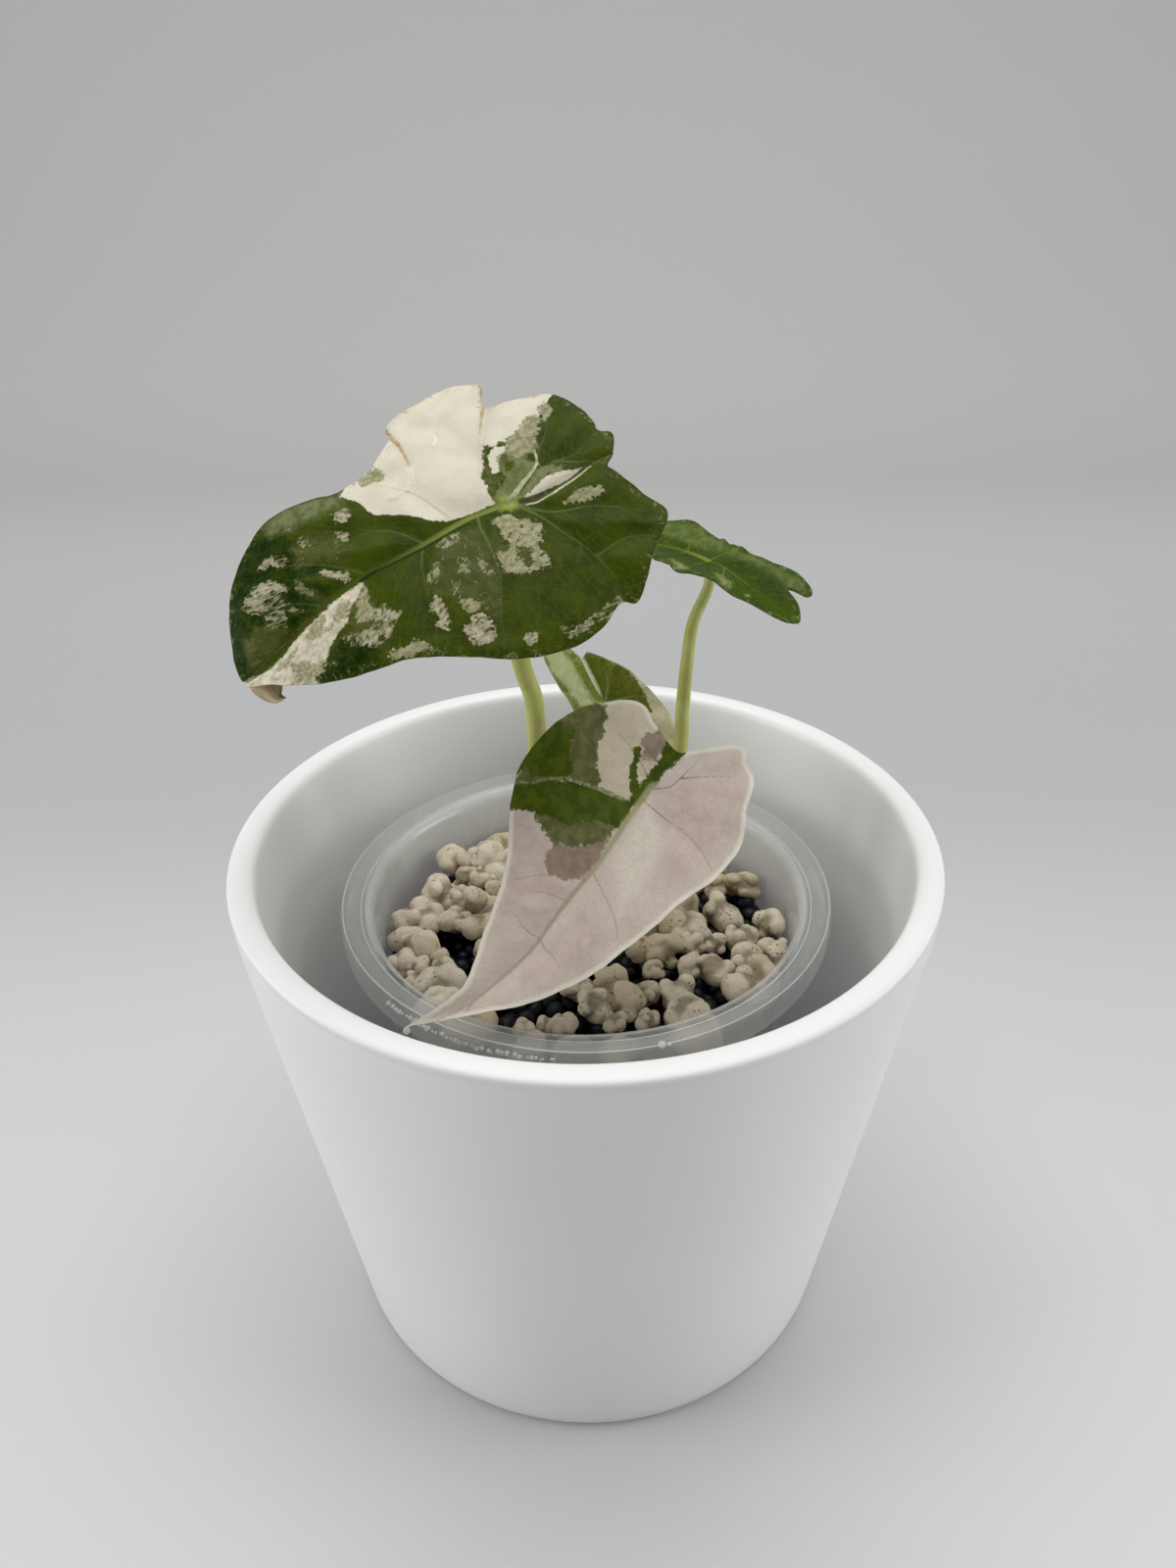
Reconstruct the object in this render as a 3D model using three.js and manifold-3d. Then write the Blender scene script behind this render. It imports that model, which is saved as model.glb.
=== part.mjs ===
// Potted pink snowflake alocasia: a young plant in a clear growing cup that stands in a plain white pot.
// Millimetres, +Z up. The origin is under the middle of the pot, on the surface that it stands on.
// The side that faces -Y is the front.
import * as THREE from 'three';
import { mergeVertices } from 'three/addons/utils/BufferGeometryUtils.js';
import Module from 'manifold-3d';

const wasm = await Module();
wasm.setup();

// Clearance between pieces that touch
const GAP = 0.3;
// Sides of the round pieces
const ROUND_SIDES = 48;

// Driving dimensions of the pot and of the cup in it
const POT = {
  height: 108.7, rimRadius: 67.5, baseRadius: 52.9, wall: 4.4, rimWidth: 5.2, floor: 5, edge: 2.5,
};
const CUP = {
  base: POT.floor + GAP, lip: 96.5, baseRadius: 36.3, mouthRadius: 41.6, wall: 1, lipRadius: 48.3,
};

// The substrate fills the cup to BED.top, and the pebbles cover it
const BED = { top: 80.5, granuleRadius: 2.3, granuleSink: 1.7, granuleCount: 48, seed: 12 };
const PEBBLE = {
  radius: 4.5, spread: 0.5, pitch: 7.5, rings: 5, flatness: 0.9, openShare: 0.22, seed: 7,
};
const PILE = { count: 13, height: 4.6, from: 17, to: 36, startAngle: 100, endAngle: 200 };

// The short stem that all the leaves grow from, and its roots
const STEM = { x: 5, y: 4, radius: 6.2, top: 91, bottom: 64, rootRadius: 0.9, roots: 6 };

// Every leaf has a flat start frame: the petiole meets the blade at "at", the blade points along "tip",
// and its upper face looks along "up". The outline lists (along, across) in that frame, in order
// round the blade from its tip, measured across from the midrib. The other values shape its surface:
// arch lifts the middle of its length, droop lowers the basal lobes, cup lowers the margins,
// fold raises them, groove sinks the midrib, and bend moves the midrib sideways most at bendAt.
const BLADE_THICKNESS = 0.8;
const LEAVES = {
  large: {
    at: [-11.7, -5, 175.6], tip: [-0.806, -0.369, -0.46], up: [-0.15, -0.62, 0.77], length: 51.5,
    arch: 4, droop: 0.006, cup: 0.0045, fold: [0, 0], groove: 0.9, bend: -0.7, bendAt: 24,
    colour: 0x44591f,
    outline: [
      [51.5, 0], [49.5, -7], [45.8, -13.8], [40, -19], [33.5, -21.1], [26, -19], [21.5, -16.6],
      [15, -18], [8.7, -22.8], [8, -25.7], [0, -28.7], [-5.5, -27.2], [-9, -22.6], [-7.2, -18.2],
      [-13, -16], [-18, -12.8], [-19.8, -6.5], [-19.5, -0.5], [-16.3, 5], [-17.6, 12.5], [-18.4, 17.8],
      [-12.5, 22.2], [-5.8, 27.1], [-3, 26.1], [3, 28.2], [10, 28], [18.5, 23.7], [26.8, 17.3],
      [34, 14.1], [41.5, 10], [48, 4],
    ],
    petiole: [[3.2, 3.2, 87], [0.2, 2.6, 97], [-4.6, 1.4, 110], [-8.4, 0.6, 124], [-8.8, 0, 133],
      [-9.2, -0.2, 138], [-11.1, -1, 145.5], [-11.7, 0.2, 158]],
    petioleRadius: [2, 1.75, 1.5], stand: 8,
  },
  front: {
    at: [11.7, -15, 127.3], tip: [-0.7, -0.515, -0.495], up: [-0.05, -0.66, 0.75], length: 57.8,
    arch: 3, droop: 0.006, cup: 0.004, fold: [0, 0], groove: 1, bend: 4.4, bendAt: 38,
    colour: 0xc9b3ad,
    outline: [
      [57.8, 0], [52, -1.6], [46, -2.6], [38.4, -6.7], [31, -10], [25, -14], [18.5, -19.3], [13, -22],
      [5, -22], [-3, -19.2], [-8.7, -14.8], [-10.4, -11.6], [-9.2, -8], [-7.8, -2.5], [-8.8, 0.5],
      [-12.7, 2.9], [-16.9, 6.9], [-15.2, 9.4], [-12, 13], [-5.5, 16.5], [0, 18.5], [9, 16.1], [20, 13.8],
      [31.3, 11.3], [40, 7.9], [48.4, 3.4], [54, 0.9],
    ],
    petiole: [[6.6, 0.9, 87], [7.4, -1.5, 96], [9.4, -6.5, 108], [11.3, -10.6, 118]],
    petioleRadius: [1.8, 1.5, 1.2], stand: 4,
  },
  right: {
    at: [22.8, 12, 158.8], tip: [-0.7, 0.7, 0], up: [-0.1, 0, 1], length: 24,
    arch: 0, droop: 0.016, cup: -0.002, fold: [0.2, 0.2], groove: 0.5, bend: 0, bendAt: 12,
    colour: 0x4d6b26,
    outline: [
      [24, 0], [20, -4.5], [14.5, -7.9], [9, -8.2], [3, -6.4], [-3, -5.7], [-9, -6.1], [-14.5, -7.5],
      [-18.2, -6.6], [-18.2, -4.9], [-15.1, -3.7], [-18, -2.8], [-20.1, -0.5], [-20, 3], [-17.5, 5.4],
      [-13, 7.8], [-7, 8.6], [-2.6, 11.2], [3.5, 9.2], [10, 7.4], [18, 4.2],
    ],
    petiole: [[8, 4.9, 87], [11, 5.6, 95], [15.6, 6.6, 107], [18.4, 7.9, 121.4], [18.8, 9, 130],
      [19.4, 10, 139], [20.4, 11.2, 147]],
    petioleRadius: [1.8, 1.35, 0.9], stand: 4,
  },
  back: {
    at: [4.1, 18, 127.1], tip: [0.34, -0.12, -0.93], up: [0.3, -0.9, 0.25], length: 28,
    arch: 0, droop: 0.01, cup: -0.001, fold: [0.55, 0.12], groove: 0.4, bend: 0, bendAt: 14,
    colour: 0x55702c,
    outline: [
      [28, 0], [23, -4.5], [16, -7.5], [8, -8.5], [0, -7], [-8, -8], [-14.2, -8.5], [-17, -6.8],
      [-16, -3.8], [-10.6, -0.9], [-10.9, 0.9], [-8.6, 3.3], [-4.2, 7], [2, 9.8], [8.5, 11.4],
      [14, 10], [20, 7.2], [25, 3.8],
    ],
    petiole: [[4.6, 7.5, 87], [3.6, 12, 97], [3, 17, 109], [2.8, 20, 118]],
    petioleRadius: [1.7, 1.4, 1.1], stand: 4,
  },
};

// Joins and cuts

function closedGeometry(geometry) {
  geometry.deleteAttribute('normal');
  geometry.deleteAttribute('uv');
  const merged = mergeVertices(geometry, 1e-4);
  const corners = merged.index.array;
  const kept = [];
  for (let i = 0; i < corners.length; i += 3) {
    const [a, b, c] = [corners[i], corners[i + 1], corners[i + 2]];
    if (a !== b && b !== c && c !== a) kept.push(a, b, c);
  }
  merged.setIndex(kept);
  return merged;
}

function toSolid(geometry) {
  const closed = closedGeometry(geometry);
  return new wasm.Manifold(new wasm.Mesh({
    numProp: 3,
    vertProperties: new Float32Array(closed.attributes.position.array),
    triVerts: new Uint32Array(closed.index.array),
  }));
}

function toGeometry(solid) {
  const mesh = solid.getMesh();
  const geometry = new THREE.BufferGeometry();
  geometry.setAttribute('position', new THREE.BufferAttribute(new Float32Array(mesh.vertProperties), 3));
  geometry.setIndex(Array.from(mesh.triVerts));
  geometry.computeVertexNormals();
  return geometry;
}

function joined(solids) {
  return solids.reduce((whole, next) => whole.add(next));
}

function largestPiece(solid) {
  const pieces = solid.decompose();
  return pieces.reduce((best, next) => (next.volume() > best.volume() ? next : best));
}

// Shapes that several pieces use

// Turns a profile of [radius, height] points about the Z axis. It runs up the outside first.
function turned(profile, sides = ROUND_SIDES) {
  const points = profile.map(([radius, height]) => new THREE.Vector2(radius, height));
  return new THREE.LatheGeometry(points, sides).rotateX(Math.PI / 2);
}

// A round bar along a smooth curve, whose radius runs evenly through the listed radii
function taperedBar(points, radii, sides, steps, grow = 0) {
  const curve = new THREE.CatmullRomCurve3(points);
  const frames = curve.computeFrenetFrames(steps, false);
  const positions = [];
  const index = [];
  for (let step = 0; step <= steps; step += 1) {
    const share = (step / steps) * (radii.length - 1);
    const low = Math.min(Math.floor(share), radii.length - 2);
    const radius = THREE.MathUtils.lerp(radii[low], radii[low + 1], share - low) + grow;
    const end = step === 0 ? -grow : step === steps ? grow : 0;
    const centre = curve.getPointAt(step / steps).addScaledVector(frames.tangents[step], end);
    for (let side = 0; side < sides; side += 1) {
      const angle = (side / sides) * Math.PI * 2;
      const point = centre.clone()
        .addScaledVector(frames.normals[step], Math.cos(angle) * radius)
        .addScaledVector(frames.binormals[step], Math.sin(angle) * radius);
      positions.push(point.x, point.y, point.z);
    }
  }
  for (let step = 0; step < steps; step += 1) {
    for (let side = 0; side < sides; side += 1) {
      const next = (side + 1) % sides;
      const [a, b] = [step * sides + side, step * sides + next];
      index.push(a, b, a + sides, b, b + sides, a + sides);
    }
  }
  for (let side = 1; side < sides - 1; side += 1) {
    const last = steps * sides;
    index.push(0, side + 1, side, last, last + side, last + side + 1);
  }
  const geometry = new THREE.BufferGeometry();
  geometry.setAttribute('position', new THREE.Float32BufferAttribute(positions, 3));
  geometry.setIndex(index);
  return geometry;
}

// Repeatable draws between 0 and 1
function draws(seed) {
  let state = seed;
  return () => {
    state = (state * 16807) % 2147483647;
    return state / 2147483647;
  };
}

// Pot and cup

function cachepot() {
  const { height, rimRadius, baseRadius, wall, rimWidth, floor, edge } = POT;
  const inner = rimRadius - rimWidth;
  const profile = [
    [0, 0], [baseRadius - edge, 0], [baseRadius - edge * 0.3, edge * 0.3], [baseRadius + 0.3, edge],
    [rimRadius, height - 3.4], [rimRadius - 0.2, height - 1.7], [rimRadius - 1.1, height - 0.5],
    [rimRadius - 2.5, height], [rimRadius - 3.9, height - 0.4], [inner, height - 1.8],
    [inner - 0.3, height - 3.6], [baseRadius - wall + 0.4, floor + edge],
    [baseRadius - wall - edge, floor], [0, floor],
  ];
  return turned(profile);
}

// The lip of the cup is an upturned channel with an inner and an outer ridge, and its skirt hangs free
function cupProfile() {
  const { base, lip, baseRadius, mouthRadius, wall, lipRadius } = CUP;
  return [
    [0, base], [baseRadius - 1.5, base], [baseRadius, base + 1.5],
    [mouthRadius + wall, lip - 4.1], [mouthRadius + 1.9, lip - 2], [lipRadius - 3.4, lip - 2.4],
    [lipRadius - 2, lip - 1.2], [lipRadius - 1, lip - 1.8], [lipRadius - 1, lip - 5.4],
    [lipRadius - 0.2, lip - 5.6], [lipRadius, lip - 1.3], [lipRadius - 0.7, lip - 0.3],
    [lipRadius - 1.7, lip], [lipRadius - 2.6, lip - 0.3], [lipRadius - 3.4, lip - 1.3],
    [lipRadius - 4.6, lip - 0.9], [lipRadius - 5.7, lip - 1.5], [mouthRadius, lip - 3.3],
    [baseRadius - wall, base + 2.6], [baseRadius - wall - 1, base + wall], [0, base + wall],
  ];
}

// Radius of the inside of the cup at a height
function cupInside(height) {
  const low = CUP.base + 2.6;
  const share = (height - low) / (CUP.lip - 3.3 - low);
  return THREE.MathUtils.lerp(CUP.baseRadius - CUP.wall, CUP.mouthRadius, share);
}

// What fills the cup, from its floor to a height, clear of its wall
function cupFilling(bottom, top) {
  const edge = 2;
  const profile = [
    [0, bottom], [cupInside(bottom) - GAP - edge, bottom], [cupInside(bottom + edge) - GAP, bottom + edge],
    [cupInside(top) - GAP, top], [0, top],
  ];
  return toSolid(turned(profile));
}

// Pebbles lie on rings that fill the cup, with fewer at the front right and a pile at the back left
function pebbleList() {
  const draw = draws(PEBBLE.seed);
  const size = () => PEBBLE.radius + PEBBLE.spread * (2 * draw() - 1);
  const list = [];
  const outerRing = cupInside(BED.top) - PEBBLE.radius;
  for (let ring = 0; ring < PEBBLE.rings; ring += 1) {
    const ringRadius = outerRing - ring * PEBBLE.pitch;
    const count = Math.round((2 * Math.PI * ringRadius) / PEBBLE.pitch);
    for (let k = 0; k < count; k += 1) {
      const angle = ((k + 0.35 * draw() + 0.5 * ring) / count) * 2 * Math.PI;
      const from = ringRadius - 0.8 * draw();
      const radius = size();
      const z = BED.top + radius * (0.55 + 0.25 * draw());
      const [x, y] = [from * Math.cos(angle), from * Math.sin(angle)];
      const openShare = x > -12 && y < 14 ? PEBBLE.openShare : 0.03;
      if (draw() > openShare) list.push({ x, y, z, radius });
    }
  }
  for (let k = 0; k < PILE.count; k += 1) {
    const angle = THREE.MathUtils.degToRad(PILE.startAngle + (PILE.endAngle - PILE.startAngle) * draw());
    const from = PILE.from + (PILE.to - PILE.from) * Math.sqrt(draw());
    const radius = size();
    list.push({ x: from * Math.cos(angle), y: from * Math.sin(angle), z: BED.top + PILE.height, radius });
  }
  return list.filter(({ x, y }) => Math.hypot(x - STEM.x, y - STEM.y) > STEM.radius + 1);
}

// One lumpy pebble: a ball whose points move in and out by waves that differ from place to place
function pebbleSolid({ x, y, z, radius }, grow = 0) {
  const ball = closedGeometry(new THREE.OctahedronGeometry(1, 1));
  const points = ball.attributes.position;
  for (let i = 0; i < points.count; i += 1) {
    const out = new THREE.Vector3().fromBufferAttribute(points, i);
    const lump = 0.16 * Math.sin(3 * out.x + x) + 0.13 * Math.sin(4 * out.y + y + 2 * out.z);
    out.multiplyScalar(radius * (1 + lump) + grow);
    points.setXYZ(i, x + out.x, y + out.y, z + out.z * PEBBLE.flatness);
  }
  return toSolid(ball);
}

// A straight round bar on the stem's axis, used to cut room for the stem
function stemRoom(bottom, top, grow) {
  const radius = STEM.radius + grow;
  const profile = [[0, bottom], [radius, bottom], [radius, top], [0, top]];
  return toSolid(turned(profile, 20).translate(STEM.x, STEM.y, 0));
}

function pumicePebbles(list) {
  const above = cupFilling(BED.top + GAP, CUP.lip - 3);
  const layer = joined(list.map((pebble) => pebbleSolid(pebble)));
  return largestPiece(layer.intersect(above).subtract(stemRoom(BED.top - 1, CUP.lip, GAP)));
}

// Stem base with its roots

function rootPath(number) {
  const turn = (number / STEM.roots) * 2 * Math.PI;
  const reach = [3, 9, 16 + 3 * (number % 2), 20 - 4 * (number % 3)];
  const drop = [STEM.bottom + 6, STEM.bottom, STEM.bottom - 14, STEM.bottom - 32 - 5 * (number % 3)];
  return reach.map((out, i) => new THREE.Vector3(
    STEM.x + out * Math.cos(turn + 0.2 * i), STEM.y + out * Math.sin(turn + 0.2 * i), drop[i]));
}

function stemSolid(grow = 0) {
  const { x, y, radius, top, bottom } = STEM;
  const profile = [
    [0, bottom - grow], [radius * 0.55 + grow, bottom + 1 - grow], [radius * 0.9 + grow, bottom + 6],
    [radius * 0.8 + grow, bottom + 12], [radius + grow, bottom + 18], [radius + grow, top - 3],
    [radius * 0.85 + grow, top - 1 + grow], [0, top + grow],
  ];
  const body = toSolid(turned(profile, 16).translate(x, y, 0));
  const radii = [STEM.rootRadius * 1.5, STEM.rootRadius, STEM.rootRadius * 0.6];
  const roots = Array.from({ length: STEM.roots }, (_, number) => (
    toSolid(taperedBar(rootPath(number), radii, 5, 6, grow))));
  return joined([body, ...roots]);
}

// Leaves

function leafFrame({ at, tip, up }) {
  const along = new THREE.Vector3(...tip).normalize();
  const normal = new THREE.Vector3(...up);
  normal.addScaledVector(along, -normal.dot(along)).normalize();
  return { origin: new THREE.Vector3(...at), along, across: normal.clone().cross(along), normal };
}

// Height of the upper face over its flat start frame
function bladeHeight(leaf, u, w) {
  const arch = leaf.arch * Math.sin(Math.PI * Math.min(Math.max(u / leaf.length, 0), 1));
  const lobe = leaf.droop * Math.min(u, 0) ** 2;
  const fold = leaf.fold[w < 0 ? 0 : 1] * (Math.sqrt(w * w + 1) - 1);
  const groove = leaf.groove * (1 - Math.exp(-Math.abs(w) / 2));
  return arch - lobe - leaf.cup * w * w + fold + groove;
}

// Sideways place of the midrib
function midribOffset(leaf, u) {
  if (u <= 0) return 0;
  const span = u < leaf.bendAt ? leaf.bendAt : leaf.length - leaf.bendAt;
  const share = Math.min(Math.abs(u - leaf.bendAt) / span, 1);
  return leaf.bend * (1 - share ** 2.2);
}

function bladePoint(leaf, frame, u, w, below) {
  return frame.origin.clone()
    .addScaledVector(frame.along, u)
    .addScaledVector(frame.across, w + midribOffset(leaf, u))
    .addScaledVector(frame.normal, bladeHeight(leaf, u, w) - below);
}

// The blade is a thin sheet: rings of points at shares of the outline, alike on both faces
const BLADE_RINGS = [0.14, 0.32, 0.55, 0.78, 1];

function bladeGeometry(leaf) {
  const frame = leafFrame(leaf);
  const rays = leaf.outline.length;
  const perFace = 1 + BLADE_RINGS.length * rays;
  const positions = [];
  for (const below of [0, BLADE_THICKNESS]) {
    const places = [[0, 0]];
    for (const share of BLADE_RINGS) {
      for (const [u, w] of leaf.outline) places.push([u * share, w * share]);
    }
    for (const [u, w] of places) positions.push(...bladePoint(leaf, frame, u, w, below).toArray());
  }
  const index = [];
  const addBoth = (a, b, c) => {
    index.push(a, c, b, a + perFace, b + perFace, c + perFace);
  };
  for (let ray = 0; ray < rays; ray += 1) {
    const next = (ray + 1) % rays;
    addBoth(0, 1 + ray, 1 + next);
    for (let ring = 1; ring < BLADE_RINGS.length; ring += 1) {
      const [inner, outer] = [1 + (ring - 1) * rays, 1 + ring * rays];
      addBoth(inner + ray, outer + ray, outer + next);
      addBoth(inner + ray, outer + next, inner + next);
    }
    const edge = perFace - rays;
    const [a, b] = [edge + ray, edge + next];
    index.push(a, b, a + perFace, b, b + perFace, a + perFace);
  }
  const geometry = new THREE.BufferGeometry();
  geometry.setAttribute('position', new THREE.Float32BufferAttribute(positions, 3));
  geometry.setIndex(index);
  return geometry;
}

// The petiole starts in its socket in the stem and ends square under the blade
function petioleGeometry(leaf, grow = 0) {
  const { origin, normal } = leafFrame(leaf);
  const path = leaf.petiole.map((point) => new THREE.Vector3(...point));
  path.push(origin.clone().addScaledVector(normal, -BLADE_THICKNESS - GAP - leaf.stand));
  path.push(origin.clone().addScaledVector(normal, -BLADE_THICKNESS - GAP - 0.15));
  return taperedBar(path, leaf.petioleRadius, 8, 13, grow);
}

// Dark granules lie on the bed wherever the pebbles leave room
function granuleSolids(pebbles) {
  const draw = draws(BED.seed);
  const reach = cupInside(BED.top) - GAP - BED.granuleRadius;
  const stemReach = STEM.radius + BED.granuleRadius + 1;
  const height = BED.top + BED.granuleRadius - BED.granuleSink;
  const found = [];
  for (let tries = 0; tries < 900 && found.length < BED.granuleCount; tries += 1) {
    const [angle, from] = [2 * Math.PI * draw(), reach * Math.sqrt(draw())];
    const [x, y] = [from * Math.cos(angle), from * Math.sin(angle)];
    const clear = pebbles.every((pebble) => Math.hypot(pebble.x - x, pebble.y - y) > pebble.radius + 0.6);
    const apart = found.every((other) => Math.hypot(other.x - x, other.y - y) > 2.6);
    if (clear && apart && Math.hypot(x - STEM.x, y - STEM.y) > stemReach) found.push({ x, y });
  }
  return found.map(({ x, y }) => toSolid(
    new THREE.IcosahedronGeometry(BED.granuleRadius, 0).translate(x, y, height)));
}

// The bed has a plain hole for the stem and its roots
function substrateBed(pebbles) {
  const pebbleRoom = joined(pebbles.map((pebble) => pebbleSolid(pebble, GAP + 0.05)))
    .intersect(cupFilling(BED.top + 0.05, CUP.lip));
  const bed = joined([cupFilling(CUP.base + CUP.wall + GAP, BED.top), ...granuleSolids(pebbles)]);
  return largestPiece(bed.subtract(pebbleRoom).subtract(stemSolid(GAP)));
}

// The stem has a socket for each petiole
function stemAndRoots() {
  const petioles = Object.values(LEAVES).map((leaf) => toSolid(petioleGeometry(leaf, GAP)));
  return largestPiece(petioles.reduce((solid, petiole) => solid.subtract(petiole), stemSolid()));
}

// Assembly

const plant = new THREE.Group();

function add(name, geometry, color, roughness, extra = {}) {
  const material = new THREE.MeshStandardMaterial({ color, roughness, metalness: 0, ...extra });
  const mesh = new THREE.Mesh(geometry, material);
  mesh.name = name;
  plant.add(mesh);
}

const pebbles = pebbleList();
add('cachepot', cachepot(), 0xe9e8ec, 0.55);
add('growing_cup', turned(cupProfile()), 0xdfe3e4, 0.2, { transparent: true, opacity: 0.4 });
add('substrate_bed', toGeometry(substrateBed(pebbles)), 0x1d2024, 0.8);
add('pumice_pebbles', toGeometry(pumicePebbles(pebbles)), 0xcfc3ab, 0.9);
add('stem_and_roots', toGeometry(stemAndRoots()), 0xb9b48a, 0.7);
for (const [name, leaf] of Object.entries(LEAVES)) {
  add(`petiole_${name}`, petioleGeometry(leaf), 0xa3ac6a, 0.5);
  add(`blade_${name}`, bladeGeometry(leaf), leaf.colour, 0.4);
}

export default plant;
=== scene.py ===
import math

import bmesh
import bpy
import numpy as np
from mathutils import Matrix, Vector
from mathutils.geometry import delaunay_2d_cdt


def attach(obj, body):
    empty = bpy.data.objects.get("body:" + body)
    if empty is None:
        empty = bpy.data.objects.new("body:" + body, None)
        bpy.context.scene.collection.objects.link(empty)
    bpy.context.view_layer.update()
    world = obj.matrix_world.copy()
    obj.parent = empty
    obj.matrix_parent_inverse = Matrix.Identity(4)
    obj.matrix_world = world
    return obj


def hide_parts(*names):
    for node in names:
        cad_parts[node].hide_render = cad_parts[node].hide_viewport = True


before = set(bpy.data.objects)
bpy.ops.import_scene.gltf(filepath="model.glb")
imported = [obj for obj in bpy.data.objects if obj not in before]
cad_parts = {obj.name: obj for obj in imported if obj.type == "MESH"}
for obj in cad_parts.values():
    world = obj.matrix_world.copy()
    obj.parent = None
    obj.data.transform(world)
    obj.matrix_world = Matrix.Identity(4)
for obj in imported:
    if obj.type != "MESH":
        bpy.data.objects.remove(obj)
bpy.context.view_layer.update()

# Lengths are in millimetres until they reach Blender
MM = 0.001


def in_scene(name, data):
    made = bpy.data.objects.new(name, data)
    bpy.context.scene.collection.objects.link(made)
    return made


# Camera: a pinhole whose place and tilt come from the pot's ellipses in the photograph

FOCAL_PIXELS, LONG_SIDE, SENSOR = 1202.0, 1600.0, 36.0
CAMERA_PITCH, CAMERA_ROLL, CAMERA_DISTANCE = math.radians(30.35), math.radians(-0.58), 222.8
CAMERA_TARGET = Vector((0.62, 0.0, 119.2))


def add_camera():
    back = Vector((0.0, -math.cos(CAMERA_PITCH), math.sin(CAMERA_PITCH)))
    level = Vector((1.0, 0.0, 0.0))
    raised = level.cross(-back)
    right = math.cos(CAMERA_ROLL) * level + math.sin(CAMERA_ROLL) * raised
    up = -math.sin(CAMERA_ROLL) * level + math.cos(CAMERA_ROLL) * raised
    data = bpy.data.cameras.new("camera")
    data.sensor_width = SENSOR
    data.sensor_fit = "AUTO"
    data.lens = FOCAL_PIXELS / LONG_SIDE * SENSOR
    data.clip_start, data.clip_end = 0.01, 20.0
    camera = in_scene("camera", data)
    turn = Matrix((right, up, back)).transposed().to_4x4()
    place = (CAMERA_TARGET + CAMERA_DISTANCE * back) * MM
    camera.matrix_world = Matrix.Translation(place) @ turn
    bpy.context.scene.camera = camera


# Repeatable draws between 0 and 1, the same as in the part's source

def draws(seed):
    state = seed
    while True:
        state = (state * 16807) % 2147483647
        yield state / 2147483647


# Points as text: numbers with spaces between, points with commas and lines with semicolons

def points_in(text):
    return [tuple(float(number) for number in point.split()) for point in text.split(",")]


def lines_in(text):
    return [points_in(line) for line in text.split(";")]


# Meshes

def piece(name, points, faces, material, node=None, slot=None, sharp=35.0, values=None):
    """Makes a smooth mesh object from points in millimetres. values holds, under each name, one number or one
    vector a point.
    """
    mesh = bpy.data.meshes.new(name)
    mesh.from_pydata((np.asarray(points, float) * MM).tolist(), [], faces)
    for key, numbers in (values or {}).items():
        numbers = np.asarray(numbers, np.float32)
        kind, field = ("FLOAT_VECTOR", "vector") if numbers.ndim == 2 else ("FLOAT", "value")
        mesh.attributes.new(key, kind, "POINT").data.foreach_set(field, numbers.ravel())
    mesh.validate()
    mesh.shade_smooth()
    mesh.set_sharp_from_angle(angle=math.radians(sharp))
    mesh.materials.append(material)
    made = in_scene(name, mesh)
    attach(made, "root")
    if node:
        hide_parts(node)


def joined(parts):
    """Points and faces of several meshes, each given as (points, faces), as one."""
    points, faces, count = [], [], 0
    for its_points, its_faces in parts:
        faces += [tuple(i + count for i in face) for face in its_faces]
        points.append(its_points)
        count += len(its_points)
    return np.vstack(points), faces


def between(a, b, c, d, steps):
    """Catmull-Rom points from b up to c, whose neighbours are a and d."""
    return [0.5 * (2 * b + (c - a) * t + (2 * a - 5 * b + 4 * c - d) * t**2 + (3 * b - a - 3 * c + d) * t**3)
            for t in np.arange(steps) / steps]


def smooth_line(points, steps):
    """A smooth curve through an open line, with steps between two of its points."""
    points = [np.asarray(p, float) for p in points]
    ends = [2 * points[0] - points[1], *points, 2 * points[-1] - points[-2]]
    made = [p for four in zip(ends, ends[1:], ends[2:], ends[3:]) for p in between(*four, steps)]
    return np.array([*made, points[-1]])


def smooth_loop(points, pitch):
    """A smooth curve through a closed line, with its points about pitch apart."""
    n = len(points)
    points = np.asarray(points, float)
    made = []
    for i in range(n):
        a, b, c, d = (points[(i + k) % n] for k in (-1, 0, 1, 2))
        made += between(a, b, c, d, max(int(np.hypot(*(c - b)) / pitch), 1))
    return np.array(made)


def turned(profile, sides, wobble=None):
    """Points and faces of a profile of (radius, height) turned about Z. It runs up the outside first."""
    profile = np.asarray(profile, float)
    angles = np.arange(sides) / sides * 2 * np.pi
    points, faces, rows = [], [], []
    for radius, height in profile:
        if radius < 1e-6:
            rows.append([len(points)])
            points.append((0.0, 0.0, height))
            continue
        rows.append(list(range(len(points), len(points) + sides)))
        grown = radius + (wobble(angles, height) if wobble else 0.0) * np.ones(sides)
        points += [(r * math.cos(a), r * math.sin(a), height) for r, a in zip(grown, angles)]
    for low, high in zip(rows, rows[1:]):
        for i in range(sides):
            k = (i + 1) % sides
            if len(low) == 1:
                faces.append((low[0], high[k], high[i]))
            elif len(high) == 1:
                faces.append((low[i], low[k], high[0]))
            else:
                faces.append((low[i], low[k], high[k], high[i]))
    return points, faces


def rounded(profile, steps):
    """The profile with its corners drawn as smooth curves."""
    reach = 0.45
    made = [profile[0]]
    for corner in zip(profile, profile[1:], profile[2:]):
        a, b, c = (np.asarray(point, float) for point in corner)
        before, after = b + (a - b) * reach, b + (c - b) * reach
        for t in np.linspace(0, 1, steps):
            made.append(tuple((1 - t) ** 2 * before + 2 * t * (1 - t) * b + t**2 * after))
    return [*made, profile[-1]]


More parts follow.
